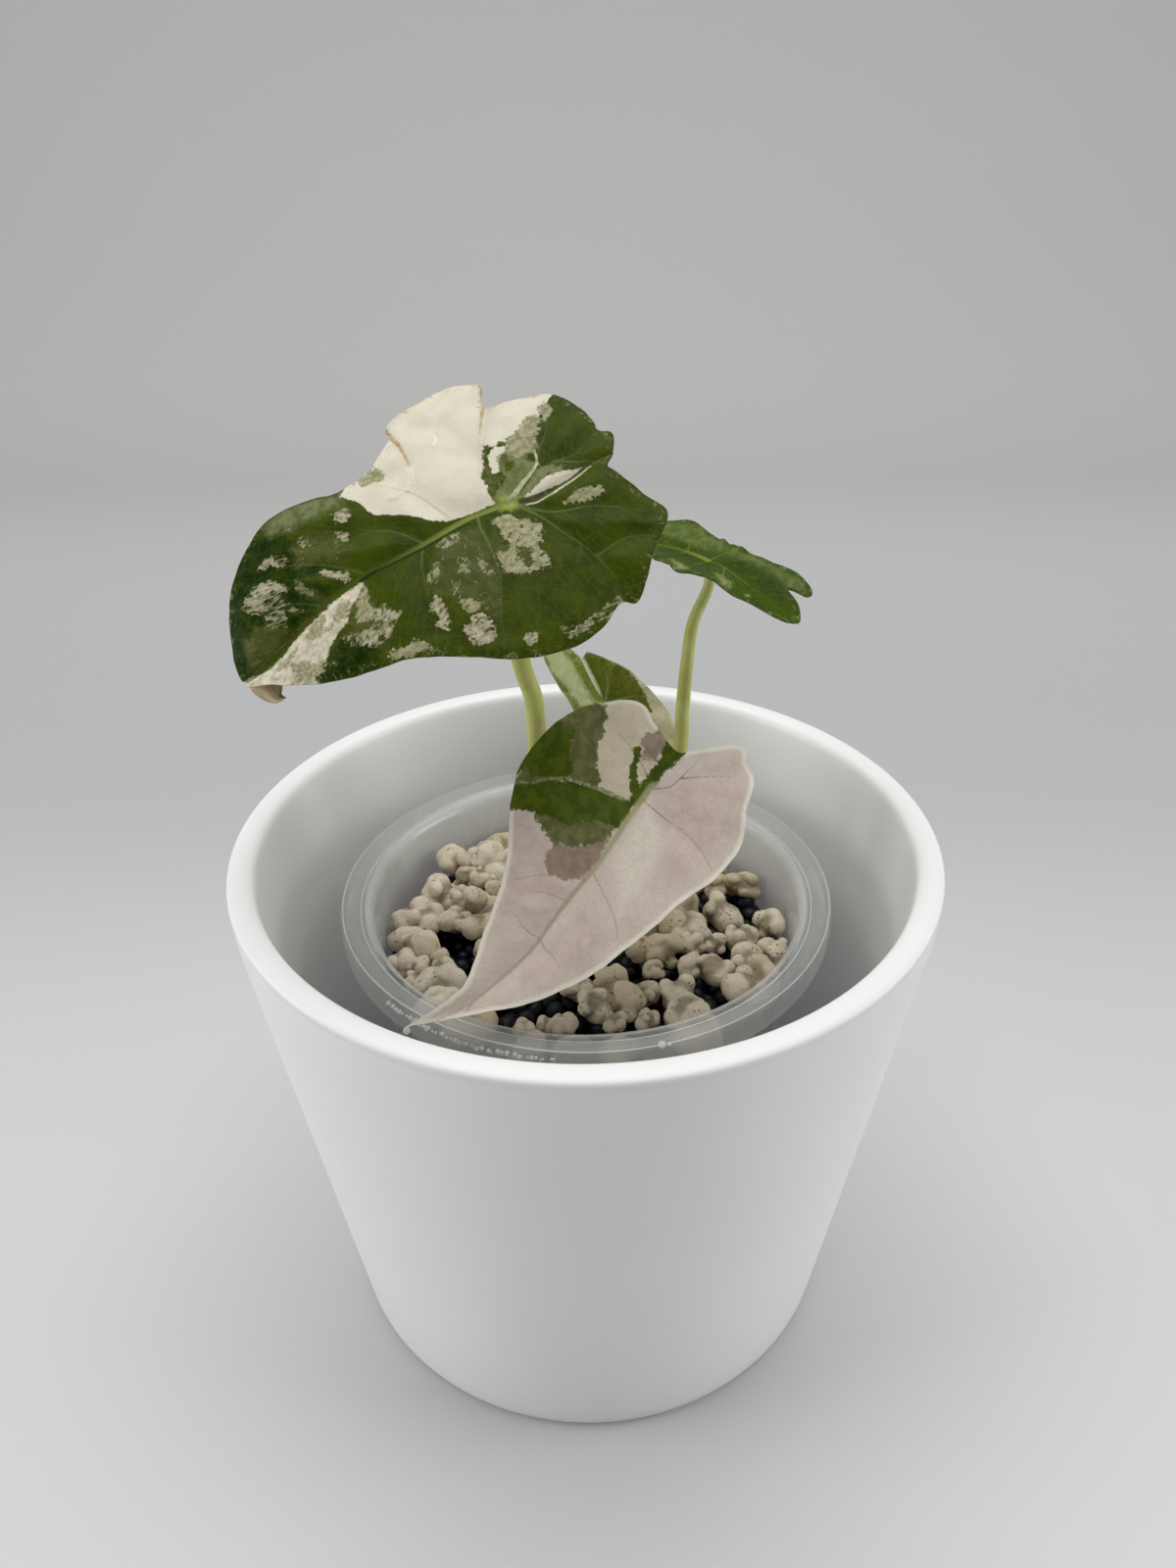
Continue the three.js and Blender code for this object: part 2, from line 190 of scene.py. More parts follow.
def bar(path, radii, sides, wave=None):
    """A round bar along smooth points. radii holds one radius a point."""
    path = np.asarray(path, float)
    tangent = np.gradient(path, axis=0)
    tangent /= np.linalg.norm(tangent, axis=1)[:, None]
    normal = np.cross(tangent[0], (0.0, 1.0, 0.2))
    points, faces = [], []
    for i, (centre, along, radius) in enumerate(zip(path, tangent, radii)):
        normal = normal - normal.dot(along) * along
        normal /= np.linalg.norm(normal)
        other = np.cross(along, normal)
        for k in range(sides):
            angle = 2 * math.pi * k / sides
            r = radius * (1 + (wave(i, angle) if wave else 0.0))
            points.append(centre + r * (math.cos(angle) * normal + math.sin(angle) * other))
        if i:
            low, high = (i - 1) * sides, i * sides
            for k in range(sides):
                after = (k + 1) % sides
                faces.append((low + k, low + after, high + after, high + k))
    faces.append(tuple(range(sides))[::-1])
    faces.append(tuple(range(len(path) * sides - sides, len(path) * sides)))
    return points, faces


def ball(detail):
    """Directions and faces of an even ball."""
    made = bmesh.new()
    bmesh.ops.create_icosphere(made, subdivisions=detail, radius=1.0)
    points = np.array([v.co[:] for v in made.verts])
    faces = [tuple(v.index for v in f.verts) for f in made.faces]
    made.free()
    return points, faces


# Node graphs for the materials

def srgb(red, green, blue):
    """A linear colour from the 0 to 255 values seen on screen."""
    def one(value):
        value /= 255
        return value / 12.92 if value <= 0.04045 else ((value + 0.055) / 1.055) ** 2.4
    return (one(red), one(green), one(blue), 1.0)


class Graph:
    """Short names for the shader nodes that the materials use."""

    def __init__(self, name):
        self.material = bpy.data.materials.new(name)
        self.material.use_nodes = True
        self.tree = self.material.node_tree
        self.shader = self.tree.nodes["Principled BSDF"]

    def node(self, kind, inputs=None, **settings):
        made = self.tree.nodes.new(kind)
        for key, value in settings.items():
            setattr(made, key, value)
        for key, value in (inputs or {}).items():
            self.put(made.inputs[key], value)
        return made

    def put(self, socket, value):
        if isinstance(value, bpy.types.NodeSocket):
            self.tree.links.new(value, socket)
        elif value is not None:
            socket.default_value = value

    def set(self, **values):
        for key, value in values.items():
            self.put(self.shader.inputs[key.replace("_", " ")], value)

    def math(self, operation, a, b=None, c=None, clamp=False):
        inputs = {i: v for i, v in enumerate((a, b, c)) if v is not None}
        return self.node("ShaderNodeMath", inputs, operation=operation, use_clamp=clamp).outputs[0]

    def times(self, a, b):
        return self.math("MULTIPLY", a, b)

    def step(self, value, low, high):
        """0 below low and 1 above high, with a soft change between. low may be above high."""
        made = self.node("ShaderNodeMapRange", {"Value": value, "From Min": low, "From Max": high},
                         interpolation_type="SMOOTHSTEP")
        return made.outputs[0]

    def mix(self, share, a, b, kind="MIX"):
        """A share of b over a. A colour is an output, or the 0 to 255 values seen on screen."""
        made = self.node("ShaderNodeMix", data_type="RGBA", blend_type=kind)
        for index, value in ((0, share), (6, a), (7, b)):
            self.put(made.inputs[index], srgb(*value) if isinstance(value, tuple) else value)
        return made.outputs[2]

    def place(self, name=None):
        if name:
            return self.node("ShaderNodeAttribute", attribute_name=name).outputs["Vector"]
        return self.node("ShaderNodeTexCoord").outputs["Object"]

    def value(self, name):
        return self.node("ShaderNodeAttribute", attribute_name=name).outputs["Fac"]

    def noise(self, place, scale, detail=2.0, rough=0.5, twist=0.0):
        made = self.node("ShaderNodeTexNoise", {
            "Vector": place, "Scale": scale, "Detail": detail, "Roughness": rough, "Distortion": twist})
        return made.outputs["Fac"]

    def cells(self, place, scale, feature="F1"):
        made = self.node("ShaderNodeTexVoronoi", {"Vector": place, "Scale": scale}, feature=feature)
        return made.outputs["Distance"]

    def stretch(self, place, sizes):
        return self.node("ShaderNodeMapping", {"Vector": place, "Scale": sizes}).outputs[0]

    def bump(self, height, distance, strength=1.0):
        inputs = {"Height": height, "Distance": distance * MM, "Strength": strength}
        return self.node("ShaderNodeBump", inputs).outputs[0]


# Leaves. Each has a flat start frame, as in the part's source: the stalk meets the blade at "at", the blade
# points along "tip", and its upper face looks along "up". Outline, midrib, valley (the fold between the basal
# lobes) and veins hold (along, across) in that frame, across measured from the bent midrib. "pitch" is the
# spacing of the net over the blade, "quilt" how far it puffs up between its veins, and "stand" how far the
# stalk runs square to the blade where they meet. A width goes from the start to the end of its line.

BLADE_THICKNESS = 0.55
LEAVES = {
    "large": dict(
        at=(-11.7, -5, 175.6), tip=(-0.806, -0.369, -0.46), up=(-0.15, -0.62, 0.77), length=51.5,
        arch=4, droop=0.006, cup=0.0045, fold=(0, 0), groove=0.9, bend=-0.7, bend_at=24,
        pitch=0.46, quilt=0.7, stand=8, shallow=1.0, petiole_radius=(2, 1.75, 1.5),
        midrib_width=(0.5, 0.2), vein_width=(0.24, 0.06),
        outline=points_in("""
            51.5 0, 49.5 -7, 45.8 -13.8, 40 -19, 33.5 -21.1, 26 -19, 21.5 -16.6, 15 -18, 8.7 -22.8,
            8 -25.7, 0 -28.7, -5.5 -27.2, -9 -22.6, -7.2 -18.2, -13 -16, -17.4 -13.8, -19.2 -9.3,
            -19.5 -4.1, -19.2 -2.1, -20.6 -0.6, -20.2 1.1, -18.2 3.5, -16 5, -16.4 7.2, -17.6 12.5,
            -18.4 17.8, -12.5 22.2, -5.8 27.1, -3 26.1, 3 28.2, 10 28, 18.5 23.7, 26.8 17.3, 34 14.1,
            41.5 10, 48 4"""),
        petiole=points_in("""
            3.2 3.2 87, 0.2 2.6 97, -4.6 1.4 110, -8.4 0.6 124, -8.8 0 133, -9.2 -0.2 138, -11.1 -1 145.5,
            -11.7 0.2 158"""),
        midrib=points_in("""
            -0.5 0.6, 3.6 0.5, 6.6 0.2, 9.5 0.3, 13.2 0.5, 16.2 0.6, 19.1 0.4, 21.9 0.1, 24.5 -0.5,
            26.9 -0.7, 29.4 -0.8, 32.1 -0.7, 35.6 -0.4, 39.3 -0.1, 42.6 0.5, 46.5 1.1, 50.9 0"""),
        valley=points_in("-0.9 1.7, -3.1 3.2, -6.9 3.2, -11 3.2, -13.9 2.8, -18 3.4"),
        veins=lines_in("""
            6 0.6, 6.8 2.9, 7.7 7.1, 8.7 10.9, 10.6 14.6, 12.8 17.9, 14.5 21;
            0 1, -0.6 3, -2 6.6, -3 10.5, -4.1 14.2, -4.8 17.5, -5.1 20.4, -4.8 23.7;
            0 1, -0.8 2.7, -3.4 6.4, -6.4 8.4, -8.8 9.4, -12.9 12.5, -16.3 16;
            26 -0.8, 28.8 -4.5, 31.5 -7.6, 33.6 -9.8, 36 -11.3, 40 -13;
            26.5 -0.5, 27.7 2.9, 28 7.2, 29 11;
            0 0.4, -2.9 -0.4, -5.8 -0.9, -9.7 -0.9, -13 -0.2, -17.5 -1.4;
            -5.8 -0.9, -8.8 -4.2, -11.5 -6.3, -14 -9;
            -9.7 -0.9, -13.1 1.5, -16.4 3.3;
            15.6 0.6, 16.9 -1.8, 18.5 -4.2, 20.9 -6.2, 25 -7.8, 31 -12;
            6.5 0.3, 10.4 -3.4, 11.2 -6.4, 11.8 -9.1, 12.5 -14;
            -4.8 17.5, -10.9 17.7, -13.9 19.7;
            16 0.6, 18.5 5, 20.5 10, 22.5 15;
            34 -0.5, 38 -4.5, 42.5 -7;
            35 -0.4, 37.6 3, 39 6.5;
            0.5 0, -0.8 -6, 0.5 -13, 2 -21"""),
    ),
    "front": dict(
        at=(11.7, -15, 127.3), tip=(-0.7, -0.515, -0.495), up=(-0.05, -0.66, 0.75), length=57.8,
        arch=3, droop=0.006, cup=0.004, fold=(0, 0), groove=1, bend=4.4, bend_at=38,
        pitch=0.46, quilt=0.42, stand=4, shallow=0, petiole_radius=(1.8, 1.5, 1.2),
        midrib_width=(0.6, 0.06), vein_width=(0.15, 0.07),
        outline=points_in("""
            59.5 -0.8, 57.2 -1.1, 52 -1.7, 46 -2.6, 38.4 -6.7, 31 -10, 25 -14, 18.5 -19.3, 13 -22, 5 -22,
            -3 -19.2, -8.7 -14.8, -10.4 -11.6, -9.2 -8, -7.8 -2.5, -8.6 -0.2, -12 2.4, -15.5 5.1,
            -16.4 6.8, -15.9 8, -14.6 8.9, -14.2 10.3, -13.5 11.9, -11.3 13.4, -8.8 14.5, -6.4 16.1,
            -3.8 17.9, -1.4 18.8, 1.4 18.8, 5.5 17.8, 11 15.8, 20 13.8, 31.3 11.3, 40 7.9, 48.4 3.2,
            53 0.9, 57 -0.5"""),
        petiole=points_in("6.6 0.9 87, 7.4 -1.5 96, 9.4 -6.5 108, 11.3 -10.6 118"),
        midrib=points_in("""
            -0.5 0, 4.7 -0.3, 8.1 -0.4, 11 -0.2, 14.5 0, 17.9 0.2, 21.7 0.1, 25.5 0.2, 29.4 0.5, 32.7 1,
            35.6 1.2, 39.5 1, 43.7 0.8, 47.9 0.9, 53.8 0.4, 57.5 0"""),
        valley=points_in("0.5 -0.1, -2.7 -0.7, -4.8 -0.6, -8.5 -0.3"),
        veins=lines_in("""
            3 0.6, 2.9 5.1, 2.4 9.3, 2.6 12.7, 3.5 15.5, 4.2 16.8;
            18.5 0.3, 20.2 4.7, 21.4 7.4, 22.6 9.4, 24 10.6;
            0.2 0.4, -2.1 2.5, -5.5 2.7, -8.9 2.9;
            -4.4 2.8, -6.4 4.5, -11.5 9.2;
            20.5 0, 23.6 -4.8, 26.5 -7.5, 29.2 -9.6;
            32.7 1, 33.4 2.9, 33.3 4.2, 34 7;
            25 0.2, 26.6 -3.5, 28.3 -5.8;
            32.7 1, 33.3 -1.8, 32.8 -4.9;
            0 -0.3, -1.7 -3.8, -3.2 -9.2, -3 -14.5;
            3 -0.3, 6.4 -3, 9.9 -12.5, 11.6 -18.7;
            47.9 0.9, 49.9 1.8, 50.7 2.1"""),
    ),
    "right": dict(
        at=(22.8, 12, 158.8), tip=(-0.7, 0.7, 0), up=(-0.1, 0, 1), length=24,
        arch=0, droop=0.016, cup=-0.002, fold=(0.2, 0.2), groove=0.5, bend=0, bend_at=12,
        pitch=0.36, quilt=0.3, stand=4, shallow=0, petiole_radius=(1.8, 1.35, 0.9),
        midrib_width=(0.55, 0.12), vein_width=(0.22, 0.08),
        outline=points_in("""
            24 0, 20 -4.5, 14.5 -7.9, 9 -8.2, 3 -6.4, -3 -5.7, -9 -6.1, -14.5 -7.5, -18.2 -6.6,
            -18.2 -4.9, -15.1 -3.7, -18 -2.8, -20.1 -0.5, -20 3, -17.5 5.4, -13 7.8, -7 8.6, -2.6 11.2,
            3.5 9.2, 10 7.4, 18 4.2"""),
        petiole=points_in("""
            8 4.9 87, 11 5.6 95, 15.6 6.6 107, 18.4 7.9 121.4, 18.8 9 130, 19.4 10 139, 20.4 11.2 147"""),
        midrib=points_in("0 0, 2.6 -0.4, 5.6 -0.7, 8.8 -0.7, 12.1 -0.1, 18 0, 23.8 0"),
        valley=points_in("0 0, -4 -2.6, -8 -3.4, -12 -3.7, -15.5 -3.9"),
        veins=lines_in("""
            0 -0.3, -2.1 -4.1, -7.9 -4.8, -11.2 -5.6, -17.2 -6;
            -0.9 -0.1, -4.2 0.6, -7.7 1.6, -11.4 1.9, -14.1 1.6, -18.4 1;
            -4.2 0.6, -6.5 4, -7 7.8;
            0 0, -0.8 4, -1.4 9;
            5.6 -0.7, 7.5 -3.8, 10.5 -7;
            5.6 -0.7, 7.2 3, 10 6.2;
            13 0, 15 -3, 17.5 -5;
            13 0, 15 2.4, 17.5 3.6"""),
    ),
    "back": dict(
        at=(4.1, 18, 127.1), tip=(0.34, -0.12, -0.93), up=(0.3, -0.9, 0.25), length=28,
        arch=0, droop=0.01, cup=-0.001, fold=(0.55, 0.12), groove=0.4, bend=0, bend_at=14,
        pitch=0.36, quilt=0.2, stand=4, shallow=0, petiole_radius=(1.7, 1.4, 1.1),
        midrib_width=(0.5, 0.12), vein_width=(0.22, 0.08),
        outline=points_in("""
            28 0, 23 -4.5, 16 -7.5, 8 -8.5, 0 -7, -8 -8, -14.2 -8.5, -17 -6.8, -16 -3.8, -10.6 -0.9,
            -10.9 0.9, -8.6 3.3, -4.2 7, 2 9.8, 8.5 11.4, 14 10, 20 7.2, 25 3.8"""),
        petiole=points_in("4.6 7.5 87, 3.6 12 97, 3 17 109, 2.8 20 118"),
        midrib=points_in("-0.8 -0.2, 4 0, 10 0.2, 18 0.1, 27.5 0"),
        valley=points_in("0 0, -3.8 -0.2, -7 -0.5, -11 -0.5"),
        veins=lines_in("""
            -0.5 -0.8, -2.1 -2, -5.2 -2.5, -8.8 -2.9, -12.2 -3.3, -15 -4;
            -0.5 0.4, -4 2.2, -7.5 2.6;
            0 0.2, 0.5 4.5, 2 8.6;
            6 0.1, 8.5 5, 12 9;
            6 0.1, 9 -4, 13 -7;
            14 0.2, 17 4, 20 6;
            14 0.2, 17 -3.5, 20 -5.4"""),
    ),
}

# Areas of other colours, each with one or more closed shapes
MARKINGS = {
    "large": dict(
        white="""
            21.7 -15.6, 18.5 -17.6, 14.6 -19.6, 11.1 -22.5, 8.8 -25, 7.6 -27.5, 4.7 -29.5, -0.1 -31,
            -6.5 -30, -9.8 -25.5, -9.5 -21.4, -7.6 -19.5, -9.1 -18.8, -12.1 -18.5, -15.3 -17, -18.6 -13.8,
            -16 -12.2, -13.9 -11, -12.5 -9.7, -10 -9, -8.2 -7.6, -6.3 -7.2, -4.5 -6.4, -2.9 -5.5,
            -0.2 -4.7, 2.2 -2.4, 2.3 -0.2, 6.1 -0.3, 10.5 -0.9, 12.6 -2.2, 13.9 -3.9, 15.4 -5.4, 19 -8.4,
            19.5 -9.7, 19.7 -12.1, 20.8 -14;
            -1.4 1.7, -2.4 1.5, -4.2 1, -6.8 0.8, -8.7 1.2, -10.7 2.2, -12.8 2.8, -9.9 3.2, -7.9 3,
            -5.8 2.8, -3.8 2.6, -2.5 2.2""",
        marble="""
            27.1 0.6, 28.4 2, 29.6 3.1, 30.7 3.4, 31.7 4.8, 34.2 5.7, 36.2 6.2, 38 7, 39.9 7.8, 41.7 8.2,
            41.6 11, 45.8 8, 49.9 3.8, 53 0, 51.2 -0.4, 50.1 0.1, 46.2 1.1, 42.6 1.1, 39.3 0.6, 35.9 0.3,
            32.4 0""",
        shade="""
            31.3 0.9, 30.5 3.1, 32.1 4.4, 34.1 4.3, 35.9 4.5, 36.2 3.7, 34.5 2.9, 33.1 1.9;
            35.3 0.4, 34.9 1.4, 35.8 3.3, 36.9 3.4, 38.7 3.5, 39.1 2, 38.1 1.1, 36.6 0.7;
            43.5 4.2, 41.3 5.5, 39.7 7.6, 38.1 8.4, 38.2 9, 42 8.4, 44.2 7.1, 44.2 5.2;
            44.1 1.8, 41.1 2, 41 3, 43.1 3.6, 44.9 3.6, 46.4 3""",
        grey="""
            -12.4 -10.9, -10.5 -11.1, -8.6 -9, -7 -9.5, -6.1 -9.4, -5.6 -8.1, -4.4 -7.3, -3.3 -7.5,
            -2.1 -5.5, -1.9 -4, -1.1 -2.7, 0.6 -2.1, 1.8 -1, 0.2 0, -1.8 -0.2, -4.5 -1.2, -7.1 -2.2,
            -6.3 -4, -6.8 -5, -8.3 -4.8, -9.1 -5.4, -11.2 -8.6, -12.7 -9.7;
            -1.4 0.8, -3.5 0.1, -5.1 -0.4, -6.8 -1.1, -8.4 -0.9, -10.1 0.8, -9.2 1.3, -7.4 0.5, -5.5 1,
            -3.6 1.4""",
        light="""
            -10 -10.5, -11.9 -10.9, -13.2 -10.4, -11.3 -8.5, -9.3 -5.9, -7.8 -5.3, -6 -5.3, -4.6 -5.7,
            -5.2 -7.5, -6.5 -9.1, -8.8 -9.5;
            -14.1 -11.9, -15.4 -12.7, -15.5 -10.9, -15.5 -10, -14.3 -9.5, -13.4 -9.6, -13.5 -10.4;
            17.9 -16.6, 14.7 -18, 13.3 -15.9, 15 -14.6, 17.6 -14.6;
            4.4 3.2, 3 3, 1.9 3, 1.5 4.3, 0.9 5.1, -0.3 6, -1 7.5, -0.4 8.9, 1.1 10.6, 2.3 11.7, 3 11.1,
            3.5 9.7, 4.1 8.5, 5.1 10.3, 5.8 10.6, 6.1 9.9, 5.1 8.6, 5.2 7.3, 4.7 5.7, 4.5 4.4;
            7.5 9.1, 6.5 9.5, 5.7 10.4, 5.4 12.1, 5.4 14.7, 6.2 14.3, 7 13.4, 7.9 12.6, 8.1 11.4,
            7.9 10.2;
            2.7 11.3, 2.3 11.7, 1.8 12.5, 1.6 13.9, 2.6 15, 3.8 15, 4.6 14.6, 4.1 13.3, 3.1 12.1;
            -6.3 6.9, -8.1 6.4, -10.4 6.8, -13 7.8, -12.4 8.7, -11.2 9, -9.6 8.3, -7 7.4;
            30.6 13.8, 28.6 14.4, 25.6 15.6, 24.4 17.4, 27.7 16.2, 29.5 15.4, 30.8 14.9;
            27.8 2.1, 28.4 4.6, 28 6.4, 28.7 7.2, 29.8 6.8, 30.9 6.9, 30.7 4.8, 29.6 3.1;
            16.7 13.5, 15.4 14.4, 14.4 15.5, 15.2 16.2, 16.3 16.3, 16.8 15.9, 16.7 14.7""",
        pale="""
            24.2 -13.3, 23 -12.5, 21.7 -12.8, 22.2 -10.9, 23.5 -10.5, 24.1 -10.5, 24.5 -12;
            25.5 -9.7, 24.3 -8.7, 24.9 -7.4, 25.7 -8.1;
            38.7 -14.5, 37.3 -14.6, 36.2 -14.3, 36.2 -12.5, 37.6 -13.4;
            31.3 -6.2, 29.6 -4, 28 -1.9, 29.1 -1.6, 30.4 -3.4, 31.7 -5.1;
            28.4 6.2, 27.5 6.6, 26.7 7.7, 25.5 9.4, 26.8 9.2, 27.7 9.3, 27.9 10.9, 28.9 11, 28.7 9.8,
            28 8.6, 28.5 7.8;
            31.4 8, 30.1 8.7, 30 9.9, 30.9 10.9, 32.1 10.7, 32.4 9.5;
            40.4 -12.1, 39 -11, 38 -9.3, 37.7 -7.5, 38.6 -7.9, 39.2 -8.8, 40.1 -8.5, 41.1 -8.9, 41.6 -8.1,
            42.4 -7.6, 43 -8.2, 42.8 -9.5, 44 -10.9, 43.5 -11.1, 42.4 -10.3, 42.2 -11.4, 41.4 -10.3,
            40.6 -10.9;
            19.5 9.9, 19 10.5, 19.4 11.8, 19.4 13.1, 19.9 14.4, 20.2 15.5, 21.1 15.8, 21.7 14.9, 22 14.2,
            21.1 13.7, 20.9 12.7, 21.2 11.7, 20.6 11.1;
            16.6 16.3, 15.4 16.9, 15.1 18.7, 15.2 19.9, 16.1 20.9, 17.5 21.5, 18.6 21.1, 19.5 20.3,
            19.1 19.2, 19.4 18, 18.6 17.5, 17.5 17.5, 16.8 16.7;
            12.2 23.4, 11.1 23.6, 10.5 24.4, 11 25, 11.9 25.1, 12.7 25.2, 12.4 24""",
        haze="""
            6.9 3.3, 7.8 7.1, 8.9 10.9, 10.4 14.3, 12.2 17.3, 14.1 18.5, 15.2 16.2, 16.5 13.2, 18.3 11.1,
            19.8 9.5, 17.2 5.2, 14.3 2.4, 11.3 2.2, 8.4 2.2;
            5 3.6, 4.5 4.4, 5.2 7.3, 4.8 8.9, 3.5 9.7, 2.8 11.4, 4 13.4, 5.4 14.7, 5.4 12.1, 5.7 10.4,
            7.5 9.1, 7.3 7.4;
            27.2 1.7, 27.7 6.7, 25.4 8.8, 27.8 11, 29.1 10.6, 31.4 10.7, 31.5 8.5, 33.2 8.2, 34.8 6.7,
            31.5 4.7, 29.2 3.1;
            35.6 -7.8, 34.9 -5.6, 33.6 -2.9, 33.3 -0.8, 34.3 -0.7, 35.3 -3, 35.9 -6;
            33 -13, 29 -14, 26 -10, 25 -6, 27.5 -4, 31 -8, 34 -9;
            47.4 -5.5, 44.9 -5.4, 41.9 -3.3, 41 -1.2, 44.3 -0.2, 47.9 -0.3, 49.6 -1, 49 -3.2""",
        sheen="""
            34 -21.5, 29.4 -20.6, 26.4 -19.1, 23.6 -17.4, 21.2 -15.6, 22.5 -13.8, 26 -14.9, 30 -16.3,
            34 -18""",
        fleck="""
            14.3 2.4, 12.9 1.7, 11.3 2, 10 2.4, 11.2 3.9, 12.1 3.9, 14 4.1;
            16.9 4.7, 16 5.9, 16.6 7.8, 18 8.4, 18.9 7.3;
            16.3 10.2, 15.2 10.7, 16 12.8, 17.2 12.4;
            12.9 6.6, 11.5 7.5, 13 9.9, 14.2 9.1;
            9.7 7.7, 9.8 9.2, 9.9 11.7, 11 11.3, 10.9 9.6;
            26.5 5.9, 28.2 6.4, 31.5 8.5, 34.8 6.7, 33.4 9.6, 31.5 11.6, 28.6 11.4, 26 9.9;
            32.3 -17.4, 30.9 -16.1, 31 -14.7, 31.7 -16;
            31.2 -13.9, 30.1 -13.2, 30.1 -10.1, 31.1 -11.3, 31.5 -12.8;
            36.2 -14.3, 34.4 -12.9, 34.3 -11.4, 35.6 -11.5, 36.2 -12.7;
            39.5 -7.9, 38.5 -7.1, 39.1 -5.6, 39.8 -4.5, 39.7 -3, 40.6 -2.2, 42.2 -3.2, 42.8 -4.5, 43 -5.5,
            42.5 -7.1, 41 -7.4;
            45 -10.5, 41 -12.3, 38 -10, 37 -7, 39 -6.4, 42 -6.8, 44 -8.5;
            38.2 -4.7, 38 -3.3, 37.3 -2.4, 38 -2.4, 38.6 -3.4;
            35.6 -7.8, 34.9 -5.6, 34.2 -3.4, 34.9 -3, 35.9 -6;
            7.3 25.2, 3.5 26.2, 0.9 25.4, -3.5 25, -3.5 27, 7.3 27""",
        blotch="""
            -2.4 -10.9, -3.4 -10.4, -3.4 -9.4, -2.8 -8.7, -1.9 -8.8, -1 -7.4, -0.9 -5.6, -1.7 -5,
            -1.9 -3.3, -0.9 -2.9, -0.5 -4.1, 1 -2.3, 1.7 -0.9, 1.9 -2.1, 1.7 -3.9, 1.1 -6.5, -0.2 -7.3,
            -1 -9.2;
            -4.6 -9.8, -5.3 -9.4, -5.4 -8.2, -5 -7.8, -4.9 -8.8, -4.2 -8.7, -4.2 -9.4;
            -3.8 -7.6, -4.1 -6.9, -4.2 -5.8, -4.5 -4.6, -4.1 -3.8, -3.1 -3.7, -2.7 -4.3, -3.1 -5.5,
            -3.2 -6.4;
            29.3 2.7, 30.5 4.2, 31.4 5.2, 32.4 6.2, 32.1 4.7, 30.9 3.5""",
        junction="1.5 -0.5, 0.3 -1.1, -0.8 -0.5, -1.1 1, -0.7 2.1, 1 2.5, 2.2 1.6, 2.3 0.2",
        dark="""
            37 -20.5, 32.9 -17, 30.1 -11.2, 32.5 -9.4, 28.6 -3.9, 34.3 -6.4, 31.2 -1.8, 36.9 -1.4,
            41.4 -0.2, 47.1 -0.3, 53 -1.1, 52 -7, 47.5 -14, 43 -19;
            41.5 8, 40 7.4, 35 7, 31 11.5, 33 15.5, 42 11""",
    ),
    "front": dict(
        green="""
            17.6 -22, 14.8 -23, 12.2 -23.5, 8.7 -23.5, 5 -23, 2.4 -21.6, 1.6 -18.9, 1.9 -17.8, 3.9 -17.1,
            6.5 -15.5, 7.8 -13.9, 9.7 -13.2, 11 -15.6, 11.8 -17.7, 12.9 -18.6, 12.2 -20.2, 12.7 -21.3,
            14.1 -21.4, 15.9 -21;
            16.9 -21.5, 15.4 -19.5, 14 -18.7, 12.4 -16.6, 11.4 -14.6, 9.5 -12.8, 8.1 -9.7, 7.4 -6.9,
            6.4 -4.3, 5.4 -2.4, 4 -1.4, 6.4 -1.1, 8.3 -1.2, 9.7 -1, 10.2 -2.8, 11.4 -5.1, 13.2 -6.4,
            15.2 -8.1, 15.8 -9.6, 16.1 -11.4, 17.4 -13.7, 18.4 -16.1, 20.2 -18.4;
            -7.6 -3.6, -8.6 -0.2, -4.8 -0.3, -2.7 -0.4, -0.8 -0.1, 1 0.1, 3 -0.1, 5 -1.2, 6.8 -1.8,
            6.4 -3, 4.2 -1.6, 2.2 -1.4, 0.7 -1.4, -2.3 -1.7, -4.9 -2;
            -3.3 -6.9, -3.6 -6.2, -2 -5, -0.5 -4.3, 1.3 -2.7, 2.1 -1.6, 3.4 -1.8, 2.8 -3.1, 1.3 -4.1,
            -1 -5.3""",
        grey="""
            3.5 -22.7, 0.4 -21.5, -2.4 -20.5, -5 -18.9, -5.3 -16.6, -4.3 -15.5, -1.6 -13.5, 0.5 -12.7,
            2.8 -11.5, 4.3 -10.3, 5.9 -8.4, 7.4 -8.3, 7.9 -9.9, 8.5 -12.2, 8.7 -14.1, 5.7 -16.1,
            2.5 -17.9, 1.9 -19.4;
            17 -21.3, 15.8 -21, 12.7 -21.3, 12.9 -18.6, 11.8 -17.7, 11 -15.6, 9.5 -12.8, 11.4 -14.6,
            12.4 -16.6, 14.1 -18.6, 15.5 -19.5;
            17.7 -14.4, 16.1 -11.4, 15.8 -9.6, 13.5 -6.8, 11.4 -5.1, 9.8 -1.3, 11.9 -1.4, 14 -2.5,
            16.7 -4.2, 18.1 -6.3, 19.2 -8, 19 -9.5, 18.7 -11.5""",
        stripe="1 -21, -4 -19.5, -10 -14, -10 -8, -7 -3, 0 -1, 5 -2, 7 -7, 3 -11, -1 -14, -3 -17",
        mauve="""
            -6.7 -7, -8.5 -5.9, -7.9 -3.4, -6 -2.9, -3.7 -3, -3.1 -4.4, -4.5 -6.2;
            19.2 -8, 16.7 -4.2, 14 -2.5, 11.6 -1.4, 14 -1, 16.2 -0.6, 18.6 -0.6, 20.7 -0.8, 22.5 -2.5,
            23.4 -5, 23.2 -6.6, 22 -7.4, 20 -7.3""",
